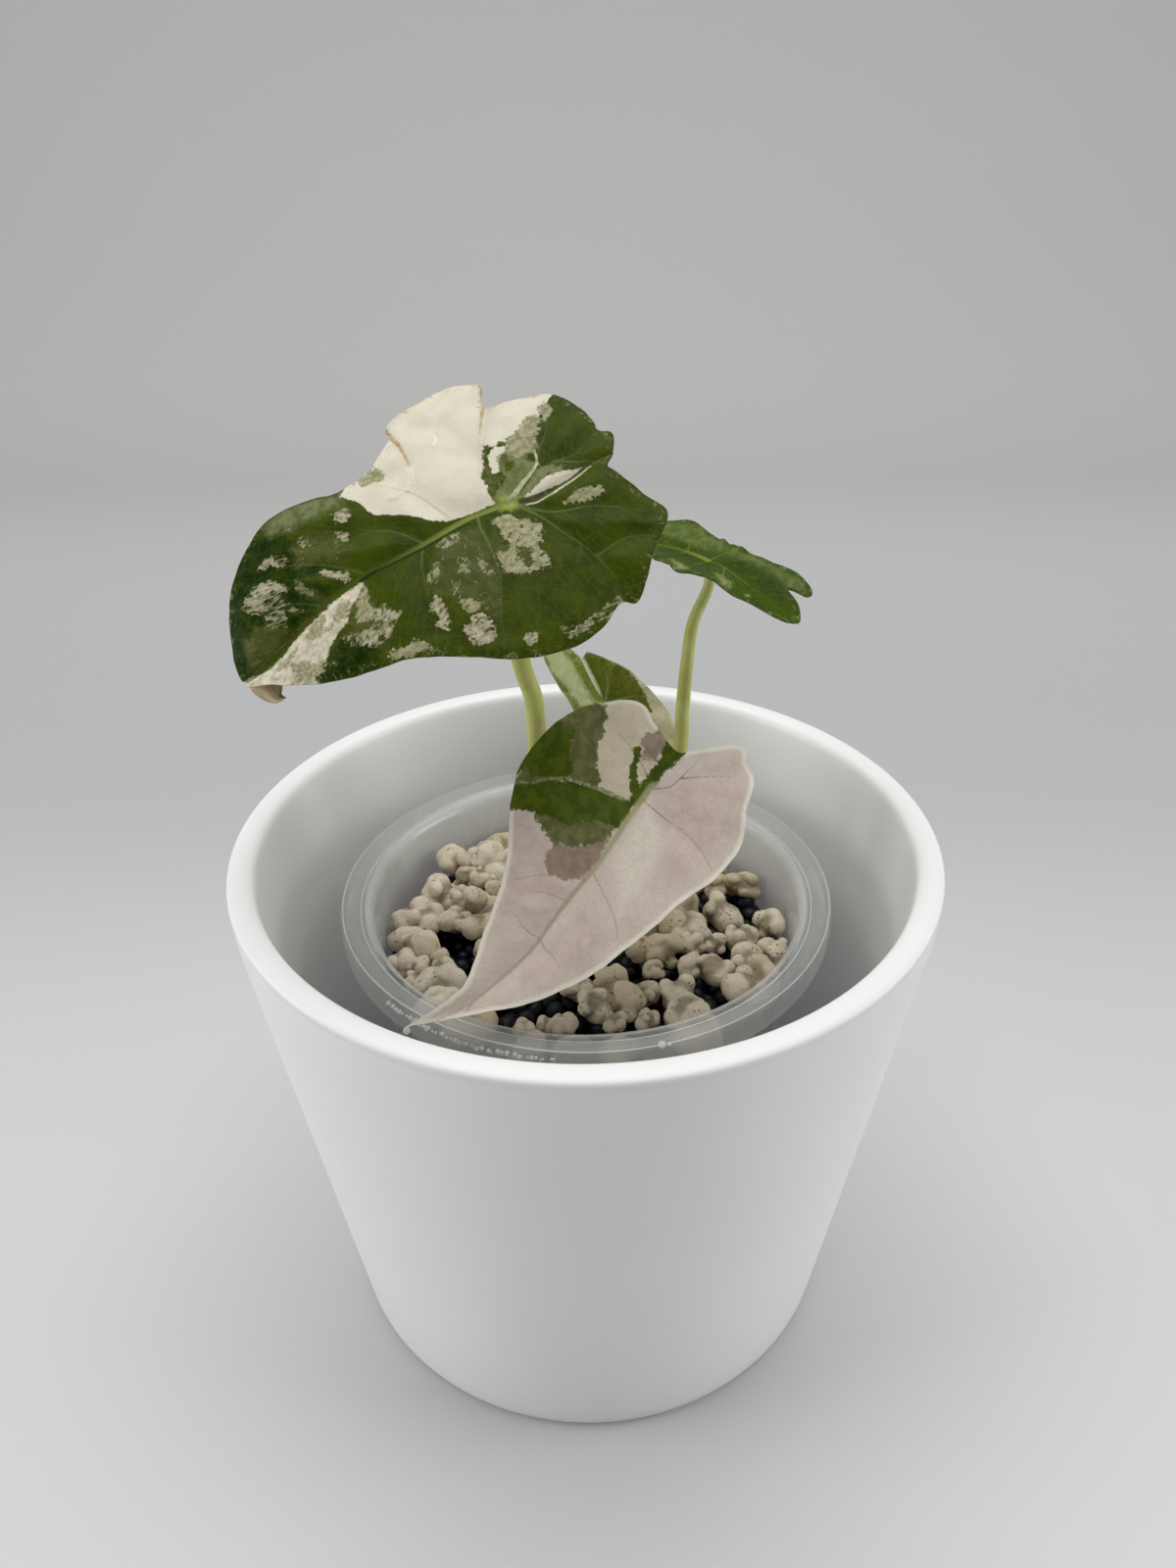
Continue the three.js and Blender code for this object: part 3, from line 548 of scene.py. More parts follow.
        pink="""
            19.8 -18, 17.4 -13.7, 18.4 -10.5, 19.6 -8.2, 22.4 -7.2, 23.4 -5, 22.3 -2, 29.4 0.5, 32.6 -1.7,
            36.4 -6, 31.4 -10.2, 24.9 -14.4;
            -0.9 1.3, -6 3.3, -10.4 6.9, -10.4 12.8, -2.9 16.1, 4.6 14.6, 12.9 12.6, 13.2 9.9, 5.7 8.3,
            3.9 3.1;
            24 2, 30 2.5, 42 2, 40 5.5, 31 9.5, 25 10""",
        pale="1.3 0, 2.6 4.8, 6.3 7.5, 14.2 9.4, 21 8.5, 19.6 6.1, 15.3 2.6, 10.3 1.3",
    ),
    "right": dict(
        # blue: a lighter bluish band along the far half, painted sheen
        blue="""
            16 -7, 9 -7.6, 3 -5.8, -3 -5.2, -9 -5.4, -14.5 -6.8, -17.5 -6, -15 -4.2, -8 -4, -2 -3, 3 -2.4,
            9 -3, 16 -3""",
        fleck="""
            3.2 6.4, 0.5 7.3, -1.5 7.1, -2.6 8.7, -2 10.6, 1 8.6;
            -5.6 4.9, -6.9 4.2, -9.6 5.3, -10.6 6.9, -8.4 6.8;
            -13.6 5.2, -13 5.2, -13 5.8, -13.6 5.8""",
    ),
    "back": dict(
        cream="""
            -6.5 5.9, -4.2 7.1, -1.6 8, 1.1 8.3, 3.6 8.6, 5.5 8.3, 5.3 6.6, 8 5, 15 5, 20 4, 24 3, 24 8,
            14 13, 8.2 13, 4.1 12, 0.2 10.2, -3.4 8.5""",
        brown="""
            -6.1 4.3, -4.4 6.5, -2.3 7.9, 0.2 8.4, 2.4 8.4, 1.5 7.2, 0 6.3, -1.2 4.5, -2.7 3.6, -4.5 3.7""",
        grey="""
            -15 -8, -11.7 -7.8, -5.9 -6.1, -2.7 -5.2, -1.5 -2.6, -3.6 -2.7, -8.1 -3.3, -11.5 -3.7,
            -15 -4.6""",
        sinus="-10.6 -0.9, -7 -0.75, -3.8 -0.5, -1.5 0, -3.8 0.15, -7 -0.1, -10.6 -0.3",
    ),
}

# Thin marks as (points, half width at the start and the end)
LINES = {
    "large": dict(
        scorch=[
            ("-9.8 -23.5, -7.1 -18.3, -5.1 -15.6, -3.2 -12.9", (0.38, 0.05)),
            ("8.6 -25.5, 8.4 -22.1, 8.5 -19, 9.3 -14.6", (0.55, 0.1)),
        ],
        slit=[
            ("-1.2 1.7, -2.8 2.6, -4.7 3.05, -7.3 3.35, "
             "-9.6 3.4, -11.5 3.2, -14.5 2.9, -18 3.5", (0.42, 0.2)),
            ("28 -1.2, 36 -0.8, 43 -0.1, 50 -0.2", (0.1, 0.1)),
        ],
        shadow=[
            ("7.8 1.3, 9.9 1.3, 11.8 1.3, 13.7 1.45, 15.2 1.4, "
             "17.1 1.25, 19.3 1, 21.2 0.75, 24 0.2, 27 -0.1", (0.1, 0.5)),
        ],
        # crease: painted highlight lines along the ridges and folds of the white sector
        crease=[
            ("9.5 -13.6, 10.2 -11.3, 11.5 -9.5, 13.2 -8.9, 15.5 -9", (0.12, 0.08)),
            ("3.8 -20.1, 2.7 -19.8, 2.7 -17.9, 3.7 -16.5", (0.1, 0.25)),
            ("12 -13.5, 13.4 -12.4, 15.2 -12.5", (0.08, 0.05)),
        ],
        trace=[
            ("17.7 -15, 15.4 -13.3, 13.5 -11.1, 12.1 -9, "
             "11.4 -7.5, 10.8 -5.2, 10.2 -2.9, 9.7 -1.2", (0.06, 0.2)),
            ("8.7 -22.8, 8.2 -25.7, 5.4 -26.9, 0 -28.6, -5.5 -27.1, -8.9 -22.6, -7.2 -18.3", (0.22, 0.16)),
            ("-13 -15.9, -17.3 -13.8, -18.9 -11", (0.16, 0.1)),
        ],
        seam=[
            ("-1.6 2.9, -3.5 3.8, -5.8 4.1, -7.8 4.05, -10.2 3.95, -12.4 3.5, -13.9 3.1", (0.22, 0.3)),
            ("0 0.2, -3.6 -0.8, -7.1 -2.2, -8.5 -4.8", (0.5, 0.12)),
        ],
    ),
    "front": dict(
        # fold: a paler line along the fold, painted shine on the fold
        fold=[
            ("16.5 -22, 14.2 -18.4, 11.6 -16.4, 9.2 -13.2, 7.2 -8.4, 5.4 -3", (0.12, 0.2)),
        ],
    ),
}

# Creases of the large leaf: a line where the blade steps up, a raised ridge and a dent
LARGE_STEP = points_in("-9.6 -22.5, -7.1 -18.3, -5.1 -15.6, -3.2 -12.9, -0.6 -8.8, 2.2 -4.7, 2.8 -2")
LARGE_RIDGE = points_in("9.1 -13.9, 10.2 -11.5, 11.8 -10, 14.3 -9.3, 15.4 -9.5")
LARGE_DENT = points_in("8.5 -25, 8.4 -22.1, 8.5 -19, 9.3 -14.6")


def leaf_axes(leaf):
    """Place, along, across and normal of the leaf's flat start frame."""
    along = Vector(leaf["tip"]).normalized()
    normal = Vector(leaf["up"])
    normal = (normal - normal.dot(along) * along).normalized()
    across = normal.cross(along)
    return [np.array(v) for v in (leaf["at"], along, across, normal)]


def midrib_offset(leaf, u):
    """How far the midrib lies sideways at u along the leaf."""
    span = np.where(u < leaf["bend_at"], leaf["bend_at"], leaf["length"] - leaf["bend_at"])
    share = np.minimum(np.abs(u - leaf["bend_at"]) / span, 1)
    return np.where(u <= 0, 0.0, leaf["bend"] * (1 - share**2.2))


def nearest(points, line, widths=None):
    """Distance of each point to a line, less a width that changes evenly along it."""
    best = np.full(len(points), np.inf)
    line = np.asarray(line, float)
    lengths = np.hypot(*np.diff(line, axis=0).T)
    ends = np.concatenate([[0], np.cumsum(lengths)]) / lengths.sum()
    for a, b, start, end in zip(line, line[1:], ends, ends[1:]):
        t = np.clip((points - a) @ (b - a) / ((b - a) @ (b - a)), 0, 1)
        far = np.hypot(*(points - a - t[:, None] * (b - a)).T)
        if widths:
            far = far - (widths[0] + (widths[1] - widths[0]) * (start + (end - start) * t))
        best = np.minimum(best, far)
    return best


def depth_inside(points, loop):
    """Distance of each point to a closed line, positive inside it."""
    loop = np.asarray(loop, float)
    far = nearest(points, np.vstack([loop, loop[:1]]))
    inside = np.zeros(len(points), bool)
    for a, b in zip(loop, np.roll(loop, -1, axis=0)):
        crosses = (a[1] > points[:, 1]) != (b[1] > points[:, 1])
        rise = b[1] - a[1] if b[1] != a[1] else 1e-9
        inside ^= crosses & (points[:, 0] < (b[0] - a[0]) * (points[:, 1] - a[1]) / rise + a[0])
    return np.where(inside, far, -far)


def bell(distance, width):
    """1 on a line, and less the farther off it."""
    return np.exp(-((distance / width) ** 2))


def creased(height, spots, valley):
    """The height of the large leaf with its creases."""
    u, w = spots.T
    line = np.array(LARGE_STEP)
    order = np.argsort(line[:, 1])
    beyond = u - np.interp(w, line[order, 1], line[order, 0])
    grow = np.clip((-w - 3) / 14, 0, 1)
    lift = 1 / (1 + np.exp(-beyond / 0.18)) * np.exp(-nearest(spots, LARGE_STEP) / 5)
    height = height + 1.3 * grow * lift * (w < -1)
    height = height + 0.35 * bell(nearest(spots, LARGE_RIDGE), 0.45)
    height = height - 0.6 * bell(nearest(spots, LARGE_DENT), 0.8)
    return height - 0.25 * bell(nearest(spots, valley), 0.4)


def leaf_height(name, leaf, spots, rim):
    """Height of the upper face over the leaf's start frame, and the distance of each spot to a side vein."""
    u, w = spots.T
    low = np.minimum(u, 0)
    arch = leaf["arch"] * np.sin(np.pi * np.clip(u / leaf["length"], 0, 1))
    fold = np.where(w < 0, leaf["fold"][0], leaf["fold"][1]) * (np.sqrt(w * w + 1) - 1)
    midrib = nearest(spots, leaf["midrib"])
    main = np.minimum(midrib, nearest(spots, leaf["valley"]) + leaf["shallow"])
    height = arch - leaf["droop"] * low**2 - leaf["cup"] * w * w + fold
    height += leaf["groove"] * (1 - np.exp(-main / 2))
    # The blade puffs up between its veins
    side = np.min([nearest(spots, smooth_line(v, 4)) for v in leaf["veins"]], axis=0)
    puff = 1 - bell(np.minimum(side, main), 2.4)
    height += leaf["quilt"] * (puff - 0.6) * np.clip(rim / 3, 0, 1)
    height += 0.18 * bell(midrib, 0.7) * np.clip(u / 3, 0, 1)
    # Its margin waves up and down
    around = np.arctan2(w, u)
    wave = np.sin(9 * around + 1) + 0.6 * np.sin(17 * around)
    height += 0.22 * wave * np.exp(-np.clip(rim, 0, None) / 2.5)
    return (creased(height, spots, leaf["valley"]) if name == "large" else height), side


def leaf_points(leaf, spots, height):
    """Places of (along, across) spots at a height over the leaf's start frame."""
    place, along, across, normal = leaf_axes(leaf)
    u, w = spots.T
    w = w + midrib_offset(leaf, u)
    return place + u[:, None] * along + w[:, None] * across + height[:, None] * normal


def blade_net(name, leaf):
    """A fine net over the blade: its spots, its triangles, and how deep each spot lies inside the margin."""
    pitch = leaf["pitch"]
    loop = smooth_loop(leaf["outline"], pitch)
    # The margin is a little uneven
    ahead = np.roll(loop, -1, axis=0) - np.roll(loop, 1, axis=0)
    run = pitch * np.arange(len(loop))
    wave = 0.04 * np.sin(run / 0.9) + 0.02 * np.sin(run / 0.47 + 1) + 0.06 * np.sin(run / 1.9 + 2)
    loop += wave[:, None] * np.column_stack([ahead[:, 1], -ahead[:, 0]]) / np.hypot(*ahead.T)[:, None]
    # Rows of spots, each moved a little, and more of them along the veins and thin marks
    draw, moved, clear = draws(5), 0.12 * pitch, 0.4 * pitch
    low, high = loop.min(0), loop.max(0)
    rows = np.arange(low[1], high[1], pitch * 0.866)
    grid = np.array([
        (u + (pitch / 2 if k % 2 else 0) + moved * next(draw), w + moved * next(draw))
        for k, w in enumerate(rows) for u in np.arange(low[0], high[0], pitch)])
    marks = [points_in(text) for items in LINES.get(name, {}).values() for text, _ in items]
    on_lines = np.vstack([smooth_line(v, 6) for v in (leaf["midrib"], *leaf["veins"], *marks)])
    inside = [spots[depth_inside(spots, loop) > clear] for spots in (grid, on_lines)]
    start = [Vector(p) for p in (*loop, *inside[0], *inside[1])]
    made = delaunay_2d_cdt(start, [], [list(range(len(loop)))], 1, 1e-4)
    spots = np.array([v[:] for v in made[0]])
    return spots, [tuple(f) for f in made[2]], depth_inside(spots, loop)


def blade_values(name, leaf, spots, rim):
    """What the leaf's material reads at each spot: signed distances to areas, veins and thin marks."""
    veins = [nearest(spots, smooth_line(v, 4), leaf["vein_width"]) for v in leaf["veins"]]
    values = {
        "plane": np.column_stack([spots, np.zeros(len(spots))]),
        "rim": rim,
        "midrib": nearest(spots, leaf["midrib"], leaf["midrib_width"]),
        "veins": np.min(veins, axis=0),
    }
    for area, text in MARKINGS[name].items():
        values[area] = np.max([depth_inside(spots, shape) for shape in lines_in(text)], axis=0)
    for area, items in LINES.get(name, {}).items():
        near = [nearest(spots, smooth_line(points_in(text), 5), widths) for text, widths in items]
        values[area] = -np.min(near, axis=0)
    return values


def add_blade(name, leaf, material, slot):
    spots, faces, rim = blade_net(name, leaf)
    count = len(spots)
    height, side = leaf_height(name, leaf, spots, rim)
    # The sheet is thinner at its margin, and midrib and veins stand out below it
    thickness = BLADE_THICKNESS * (0.4 + 0.6 * (1 - np.exp(-np.clip(rim, 0, None) / 0.5)))
    taper = 1 - 0.8 * np.clip(spots[:, 0] / leaf["length"], 0, 1)
    ribs = 0.7 * taper * bell(nearest(spots, leaf["midrib"]), 0.9) + 0.22 * bell(side, 0.4)
    top = leaf_points(leaf, spots, height)
    bottom = leaf_points(leaf, spots, height - thickness - ribs)
    # Upper faces look up, lower ones down, and a wall joins them round the margin
    a, b, c = (top[[f[k] for f in faces]] for k in range(3))
    flip = np.einsum("ij,j->i", np.cross(b - a, c - a), leaf_axes(leaf)[3]) < 0
    faces = [f[::-1] if turn else f for f, turn in zip(faces, flip)]
    edges = {(i, k): True for f in faces for i, k in zip(f, f[1:] + f[:1])}
    both = faces + [tuple(i + count for i in f[::-1]) for f in faces]
    both += [(k, i, i + count, k + count) for i, k in edges if (k, i) not in edges]
    values = {key: np.concatenate([one, one]) for key, one in blade_values(name, leaf, spots, rim).items()}
    values["under"] = np.repeat([0.0, 1.0], count)
    piece(f"leaf_{name}", np.vstack([top, bottom]), both, material, f"blade_{name}", slot, values=values,
          sharp=60)


def add_petiole(name, leaf, material):
    place, _, _, normal = leaf_axes(leaf)
    ends = [place - normal * (1.1 + leaf["stand"]), place - normal * 0.75]
    path = smooth_line([*leaf["petiole"], *ends], 8)
    share = np.linspace(0, 1, len(path))
    radii = np.interp(share, (0, 0.5, 1), leaf["petiole_radius"])
    # Wider just below the blade
    radii = radii * (1 + 0.35 * np.clip((share - 0.93) / 0.07, 0, 1))
    sides = 20
    points, faces = bar(path, radii, sides, lambda i, angle: 0.02 * math.sin(3 * angle + 0.2 * i))
    values = {"along": np.repeat(share, sides)}
    piece(f"stalk_{name}", points, faces, material, f"petiole_{name}", "petiole", values=values)


# Leaf colours

def leaf_material(name, ground, layers, veins, midrib, margin, underside, fan, gloss):
    """The colours of a blade.

    ground holds two colours that change slowly over the blade, the colour of streaks along the side veins,
    and their share. Layers are painted on it in turn, each as (area, first colour, second colour, grain,
    ragged edge in mm, softness in mm, how broken up, growth in mm). The areas "veins", "net" and "edge" stand
    for the side veins, the fine net between them and the margin, and have one colour alone. veins holds the
    shares of the side veins near the stalk and far from it, and of the net. midrib holds its colours at the
    stalk and at the tip, where one turns into the other, how soft its sides are, and its share. margin holds
    the width and share of the edge and the colour of the painted glints near it, underside a colour and its
    share, and gloss the roughness and the specular level. fan says how much the side veins fan out.
    """
    first_ground, second_ground, streak_colour, streak_share = ground
    near_share, far_share, net_share = veins
    rib_start, rib_end, rib_from, rib_to, rib_soft, rib_share = midrib
    edge_width, edge_share, glint_colour = margin
    g = Graph(name)
    plane = g.place("plane")
    outward, aside, _ = g.node("ShaderNodeSeparateXYZ", {"Vector": plane}).outputs
    from_midrib = g.math("ABSOLUTE", aside)
    # Along the side veins, which fan out from the midrib
    fanned = g.math("DIVIDE", outward, g.math("MULTIPLY_ADD", from_midrib, fan, 1.0))
    lateral = g.node("ShaderNodeCombineXYZ", {0: fanned, 1: g.times(aside, 0.22)}).outputs[0]
    fine = g.noise(plane, 1.3, 6, 0.68)
    ragged_by = g.math("SUBTRACT", fine, 0.5)
    wander = g.math("SUBTRACT", g.noise(plane, 0.45, 1, 0.5), 0.5)
    coarse = g.noise(plane, 0.13, 3, 0.55)
    slanted = g.node("ShaderNodeCombineXYZ", {0: fanned, 1: g.times(aside, 0.8)}).outputs[0]
    bits = g.noise(slanted, 1.45, 6, 0.64, 0.9)
    streaks = g.noise(lateral, 2.4, 4, 0.6)
    push = g.node("ShaderNodeTexNoise", {"Vector": plane, "Scale": 0.6}).outputs["Color"]
    bent = g.mix(0.06, plane, push, "ADD")
    tissue = g.cells(bent, 0.42, "DISTANCE_TO_EDGE")
    small = g.cells(bent, 1.1, "DISTANCE_TO_EDGE")
    net = g.math("MULTIPLY_ADD", g.step(small, 0.1, 0.0), 0.45, g.step(tissue, 0.05, 0.0))

    colour = g.mix(g.step(coarse, 0.35, 0.65), first_ground, second_ground)
    colour = g.mix(g.times(g.step(streaks, 0.4, 0.7), streak_share), colour, streak_colour)
    off_stalk = g.node("ShaderNodeVectorMath", {0: plane}, operation="LENGTH").outputs["Value"]
    near_stalk = g.step(off_stalk, 26.0, 2.0)
    for area, first, *rest in layers:
        second, grain, ragged, soft, broken, growth = rest or (None, 0, 0, 0, 0, 0)
        paint = first
        if second:
            mottle = g.noise(slanted if broken else plane, grain, 4, 0.6)
            paint = g.mix(g.step(mottle, 0.4, 0.62), first, second)
        if area == "veins":
            share = g.math("MULTIPLY_ADD", near_stalk, near_share - far_share, far_share)
            mask = g.times(g.step(g.value("veins"), 0.12, -0.12), share)
        elif area == "net":
            mask = g.times(net, net_share)
        elif area == "edge":
            depth = g.math("MULTIPLY_ADD", fine, -edge_width, g.value("rim"))
            mask = g.times(g.step(depth, edge_width, 0.0), edge_share)
        else:
            depth = g.math("MULTIPLY_ADD", ragged_by, 2 * ragged, g.value(area))
            if ragged > 0.7:
                depth = g.math("MULTIPLY_ADD", wander, ragged, depth)
            mask = g.step(depth, -soft - growth, soft - growth)
        if broken:
            mask = g.times(mask, g.step(bits, broken - 0.025, broken + 0.025))
        colour = g.mix(mask, colour, paint)
    rib = g.step(g.value("midrib"), rib_soft, -rib_soft)
    rib_colour = g.mix(g.step(outward, rib_from, rib_to), rib_start, rib_end)
    colour = g.mix(g.times(rib, rib_share), colour, rib_colour)
    # Painted glints: pale flecks near the margin stand in for light catching its rim
    if glint_colour:
        near_rim = g.step(g.value("rim"), 1.8, 0.5)
        glints = g.step(g.noise(plane, 0.9, 5, 0.7, 0.8), 0.55, 0.6)
        colour = g.mix(g.times(g.times(near_rim, glints), 0.6), colour, glint_colour)
    below = g.times(g.step(g.value("under"), 0.4, 0.6), underside[1])
    colour = g.mix(below, colour, underside[0])
    height = g.math("ADD", g.times(fine, 0.8), g.times(streaks, 0.9))
    height = g.math("MULTIPLY_ADD", net, -0.35, height)
    rough = g.math("MULTIPLY_ADD", fine, 0.16, gloss[0])
    g.set(Base_Color=colour, Roughness=rough, Normal=g.bump(height, 0.07, 0.8), Specular_IOR_Level=gloss[1])
    return g.material


def large_leaf_material():
    return leaf_material(
        "leaf_large",
        ((40, 52, 1), (58, 70, 3), (70, 83, 14), 0.5),
        [
            ("dark", (14, 38, 0), (40, 52, 2), 0.5, 2.2, 0.8, 0, 0),
            ("haze", (64, 71, 26), (78, 84, 40), 0.5, 1.8, 0.9, 0, 0),
            ("sheen", (112, 120, 82), (88, 96, 54), 0.6, 1.6, 1.4, 0, 0.3),
            ("net", (92, 106, 34)),
            ("veins", (104, 118, 60)),
            ("edge", (50, 58, 10)),
            ("shadow", (24, 34, 2), (34, 46, 6), 0.8, 0.3, 0.22, 0, 0),
            ("white", (214, 209, 190), (207, 201, 181), 0.16, 0.5, 0.12, 0, 0),
            # Painted highlight along the ridges and folds of the white sector
            ("crease", (226, 222, 204), None, 0, 0.1, 0.14, 0, 0),
            ("trace", (192, 182, 150), None, 0, 0.3, 0.18, 0, 0),
            ("marble", (206, 198, 178), (178, 172, 147), 0.9, 0.9, 0.2, 0, 0),
            ("shade", (132, 130, 98), (168, 162, 136), 1.6, 2.0, 0.3, 0, 0),
            ("grey", (118, 122, 82), (98, 106, 58), 0.8, 1.4, 0.3, 0, 0.2),
            ("light", (164, 158, 131), (126, 128, 86), 1.3, 1.9, 0.14, 0.38, 0.15),
            ("haze", (142, 138, 110), (106, 106, 70), 0.9, 1.0, 0.3, 0.63, -0.4),
            ("fleck", (156, 151, 126), (110, 110, 74), 1.2, 1.2, 0.1, 0.5, 0.1),
            ("pale", (176, 169, 146), (134, 130, 98), 1.5, 1.4, 0.1, 0.42, 0.1),
            ("blotch", (60, 74, 6), (88, 94, 44), 0.9, 1.2, 0.1, 0, 0),
            ("junction", (132, 146, 66), (152, 160, 88), 0.8, 1.2, 1.1, 0, 0),
            ("seam", (188, 190, 160), (160, 164, 124), 0.8, 0.3, 0.14, 0, 0),
            ("scorch", (166, 132, 92), (190, 168, 128), 0.8, 0.2, 0.25, 0, 0),
            ("slit", (74, 76, 44), (96, 96, 66), 0.8, 0.1, 0.12, 0, 0),
        ],
        (0.6, 0.26, 0.13), ((122, 136, 62), (62, 76, 12), 8.0, 24.0, 0.25, 0.85),
        (0.25, 0.8, (126, 132, 96)), ((132, 146, 92), 0.5), 0.06, (0.3, 0.05))


def front_leaf_material():
    return leaf_material(
        "leaf_front",
        ((190, 178, 166), (198, 186, 175), (184, 169, 159), 0.4),
        [
            ("pale", (202, 192, 180), (207, 197, 184), 0.4, 1.5, 2.0, 0, 0),
            ("stripe", (190, 180, 156), (198, 188, 164), 0.4, 1.0, 1.0, 0, 0),
            ("pink", (184, 167, 158), (193, 178, 169), 0.3, 1.5, 2.2, 0, 0),
            ("net", (152, 136, 124)),
            ("veins", (138, 116, 106)),
            ("edge", (216, 211, 196)),
            ("mauve", (146, 128, 112), (130, 114, 98), 0.6, 1.5, 0.34, 0, 0.3),
            ("grey", (86, 88, 48), (106, 105, 68), 0.5, 1.4, 0.14, 0, 0.35),
            ("green", (56, 72, 4), (74, 88, 14), 0.4, 1.2, 0.1, 0, 0.34),
            # Painted shine: a paler line along the fold
            ("fold", (146, 142, 108), (96, 104, 52), 1.5, 0.6, 0.25, 0, 0.1),
        ],
        (0.9, 0.6, 0.16), ((158, 156, 112), (158, 138, 124), 9.0, 30.0, 0.3, 0.85),
        (0.75, 0.9, None), ((196, 190, 168), 0.4), 0.045, (0.38, 0.1))


def right_leaf_material():
    return leaf_material(
        "leaf_right",
        ((38, 54, 0), (52, 72, 2), (70, 90, 18), 0.4),
        [
            # Painted sheen: lighter bluish band along the far half
            ("blue", (76, 92, 34), (98, 112, 60), 0.5, 1.0, 0.9, 0, 0),
            ("net", (92, 110, 34)),
            ("veins", (100, 118, 46)),
            ("edge", (60, 74, 14)),
            ("fleck", (84, 94, 36), (92, 102, 44), 0.8, 1.6, 0.4, 0, 0.2),
            ("fleck", (134, 138, 88), (108, 116, 58), 0.8, 2.0, 0.15, 0.46, 0),
        ],
        (0.7, 0.35, 0.22), ((124, 138, 52), (84, 104, 32), 1.0, 8.0, 0.22, 0.85),
        (0.25, 0.8, (124, 136, 88)), ((132, 146, 92), 0.5), 0.05, (0.26, 0.06))


def back_leaf_material():
    return leaf_material(
        "leaf_back",
        ((86, 102, 10), (108, 122, 30), (140, 148, 82), 0.45),
        [
            ("grey", (172, 180, 126), (186, 190, 148), 0.5, 0.9, 0.5, 0, 0.2),
            ("brown", (128, 124, 58), (98, 108, 24), 1.0, 1.6, 0.5, 0.4, 0.2),
            ("net", (140, 146, 80)),
            ("veins", (156, 158, 112)),
            ("edge", (160, 158, 116)),
            ("cream", (232, 226, 192), (222, 214, 178), 0.4, 0.9, 0.25, 0, 0.3),
            ("sinus", (206, 208, 178), (220, 220, 194), 0.4, 0.1, 0.15, 0, 0.1),
        ],
        (0.8, 0.4, 0.22), ((132, 146, 66), (112, 126, 54), 1.0, 8.0, 0.22, 0.8),
        (0.25, 0.8, (170, 168, 126)), ((132, 146, 92), 0.5), 0.05, (0.3, 0.06))


def stalk_material():
    g = Graph("stalk")
    place = g.place()
    coarse = g.noise(place, 160.0, 3, 0.6)
    colour = g.mix(g.step(coarse, 0.3, 0.7), (180, 184, 100), (200, 202, 130))
    colour = g.mix(g.step(g.value("along"), 0.5, 0.0), colour, (196, 194, 126))
    streaks = g.noise(g.stretch(place, (1.0, 1.0, 0.12)), 1500.0, 3, 0.6)
    colour = g.mix(g.times(g.step(streaks, 0.45, 0.7), 0.35), colour, (166, 174, 88))
    spots = g.step(g.cells(place, 330.0), 0.16, 0.05)
    spots = g.times(spots, g.step(g.noise(place, 90.0, 1), 0.55, 0.62))
    colour = g.mix(spots, colour, (136, 142, 70))
    g.set(Base_Color=colour, Roughness=0.42, Normal=g.bump(streaks, 0.05, 0.7), Specular_IOR_Level=0.2)
    return g.material


# Pot

def pot_material():
    g = Graph("pot_white")
    place = g.place()
    cloud = g.noise(place, 14.0, 3, 0.5)
    colour = g.mix(g.step(cloud, 0.3, 0.7), (230, 230, 229), (234, 234, 233))
    smudge_at = (0.0207, -0.0595, 0.0466)
    spread = g.node("ShaderNodeVectorMath", {0: place, 1: smudge_at}, operation="DISTANCE")
    smudge = g.step(g.math("ADD", spread.outputs["Value"], g.times(cloud, 0.004)), 0.006, 0.002)
    specks = g.step(g.noise(place, 900.0, 3, 0.6), 0.55, 0.7)
    colour = g.mix(g.times(g.times(smudge, specks), 0.35), colour, (176, 176, 178))
    dust = g.step(g.noise(place, 2300.0, 2, 0.5), 0.7, 0.8)
    colour = g.mix(g.times(dust, 0.12), colour, (200, 200, 200))
    grain = g.noise(place, 3200.0, 2, 0.5)
    rough = g.math("ADD", 0.42, g.times(cloud, 0.08))
    g.set(Base_Color=colour, Roughness=rough, Normal=g.bump(grain, 0.015, 0.5), Specular_IOR_Level=0.5)
    return g.material


# (radius, height) up the outside, over the rim and down the inside
POT_PROFILE = points_in("""
    0 0, 50.2 0, 51.6 0.25, 52.6 1, 53.15 2.2, 53.5 4.5, 57 29.5, 60.5 54.6, 64 79.8, 67 101.6,
    67.25 104.6, 67.27 106.1, 67.18 106.8, 67.34 107.15, 67.45 107.6, 67.35 108.1, 66.95 108.45,
    66.2 108.62, 65 108.7, 63.9 108.62, 63.2 108.35, 62.75 107.85, 62.45 107, 62.25 106, 62.05 104.8,
    61.6 101.8, 57.6 72, 53.2 39.5, 49.1 9, 48.6 7.1, 47.6 5.6, 46 5, 0 5""")


def add_pot():
    points, faces = turned(POT_PROFILE, 192)
    piece("pot", points, faces, pot_material(), "cachepot", "pot_white", sharp=50)


# Clear growing cup

# (radius, height) up the outside, over the ridges of the lip and down the inside
CUP_PROFILE = points_in("""
    0 5.3, 34.2 5.3, 35.6 5.6, 36.3 6.8, 38 30, 40 57, 42.45 91, 42.75 93, 43.4 94.2, 44.1 94.5,
    44.9 94.2, 45.6 94.6, 46.2 95.2, 46.8 95.2, 47.15 94.6, 47.3 93.4, 47.3 91.2, 47.6 90.9, 48 91,
    48.12 91.4, 48.25 94.6, 48.25 95.4, 47.95 96, 47.4 96.4, 46.7 96.5, 46 96.35, 45.4 95.9, 44.9 95.35,
    44.4 95.2, 43.8 95.5, 43.2 95.55, 42.6 95.2, 42 94.4, 41.6 93.2, 39 57, 37 30, 35.35 8.1, 35 7,
    34.2 6.3, 0 6.3""")


# Painted highlights: bright lines round the lip as (radius, half width), standing in for reflections on its
# edges
LIP_HIGHLIGHTS = ((44.3, 0.16), (47.7, 0.18))


def cup_inside(height):
    """Radius of the inside of the cup's wall."""
    floor_radius, mouth_radius, floor_height, mouth_height = 35.3, 41.6, 7.9, 93.2
    share = (height - floor_height) / (mouth_height - floor_height)
    return floor_radius + (mouth_radius - floor_radius) * share


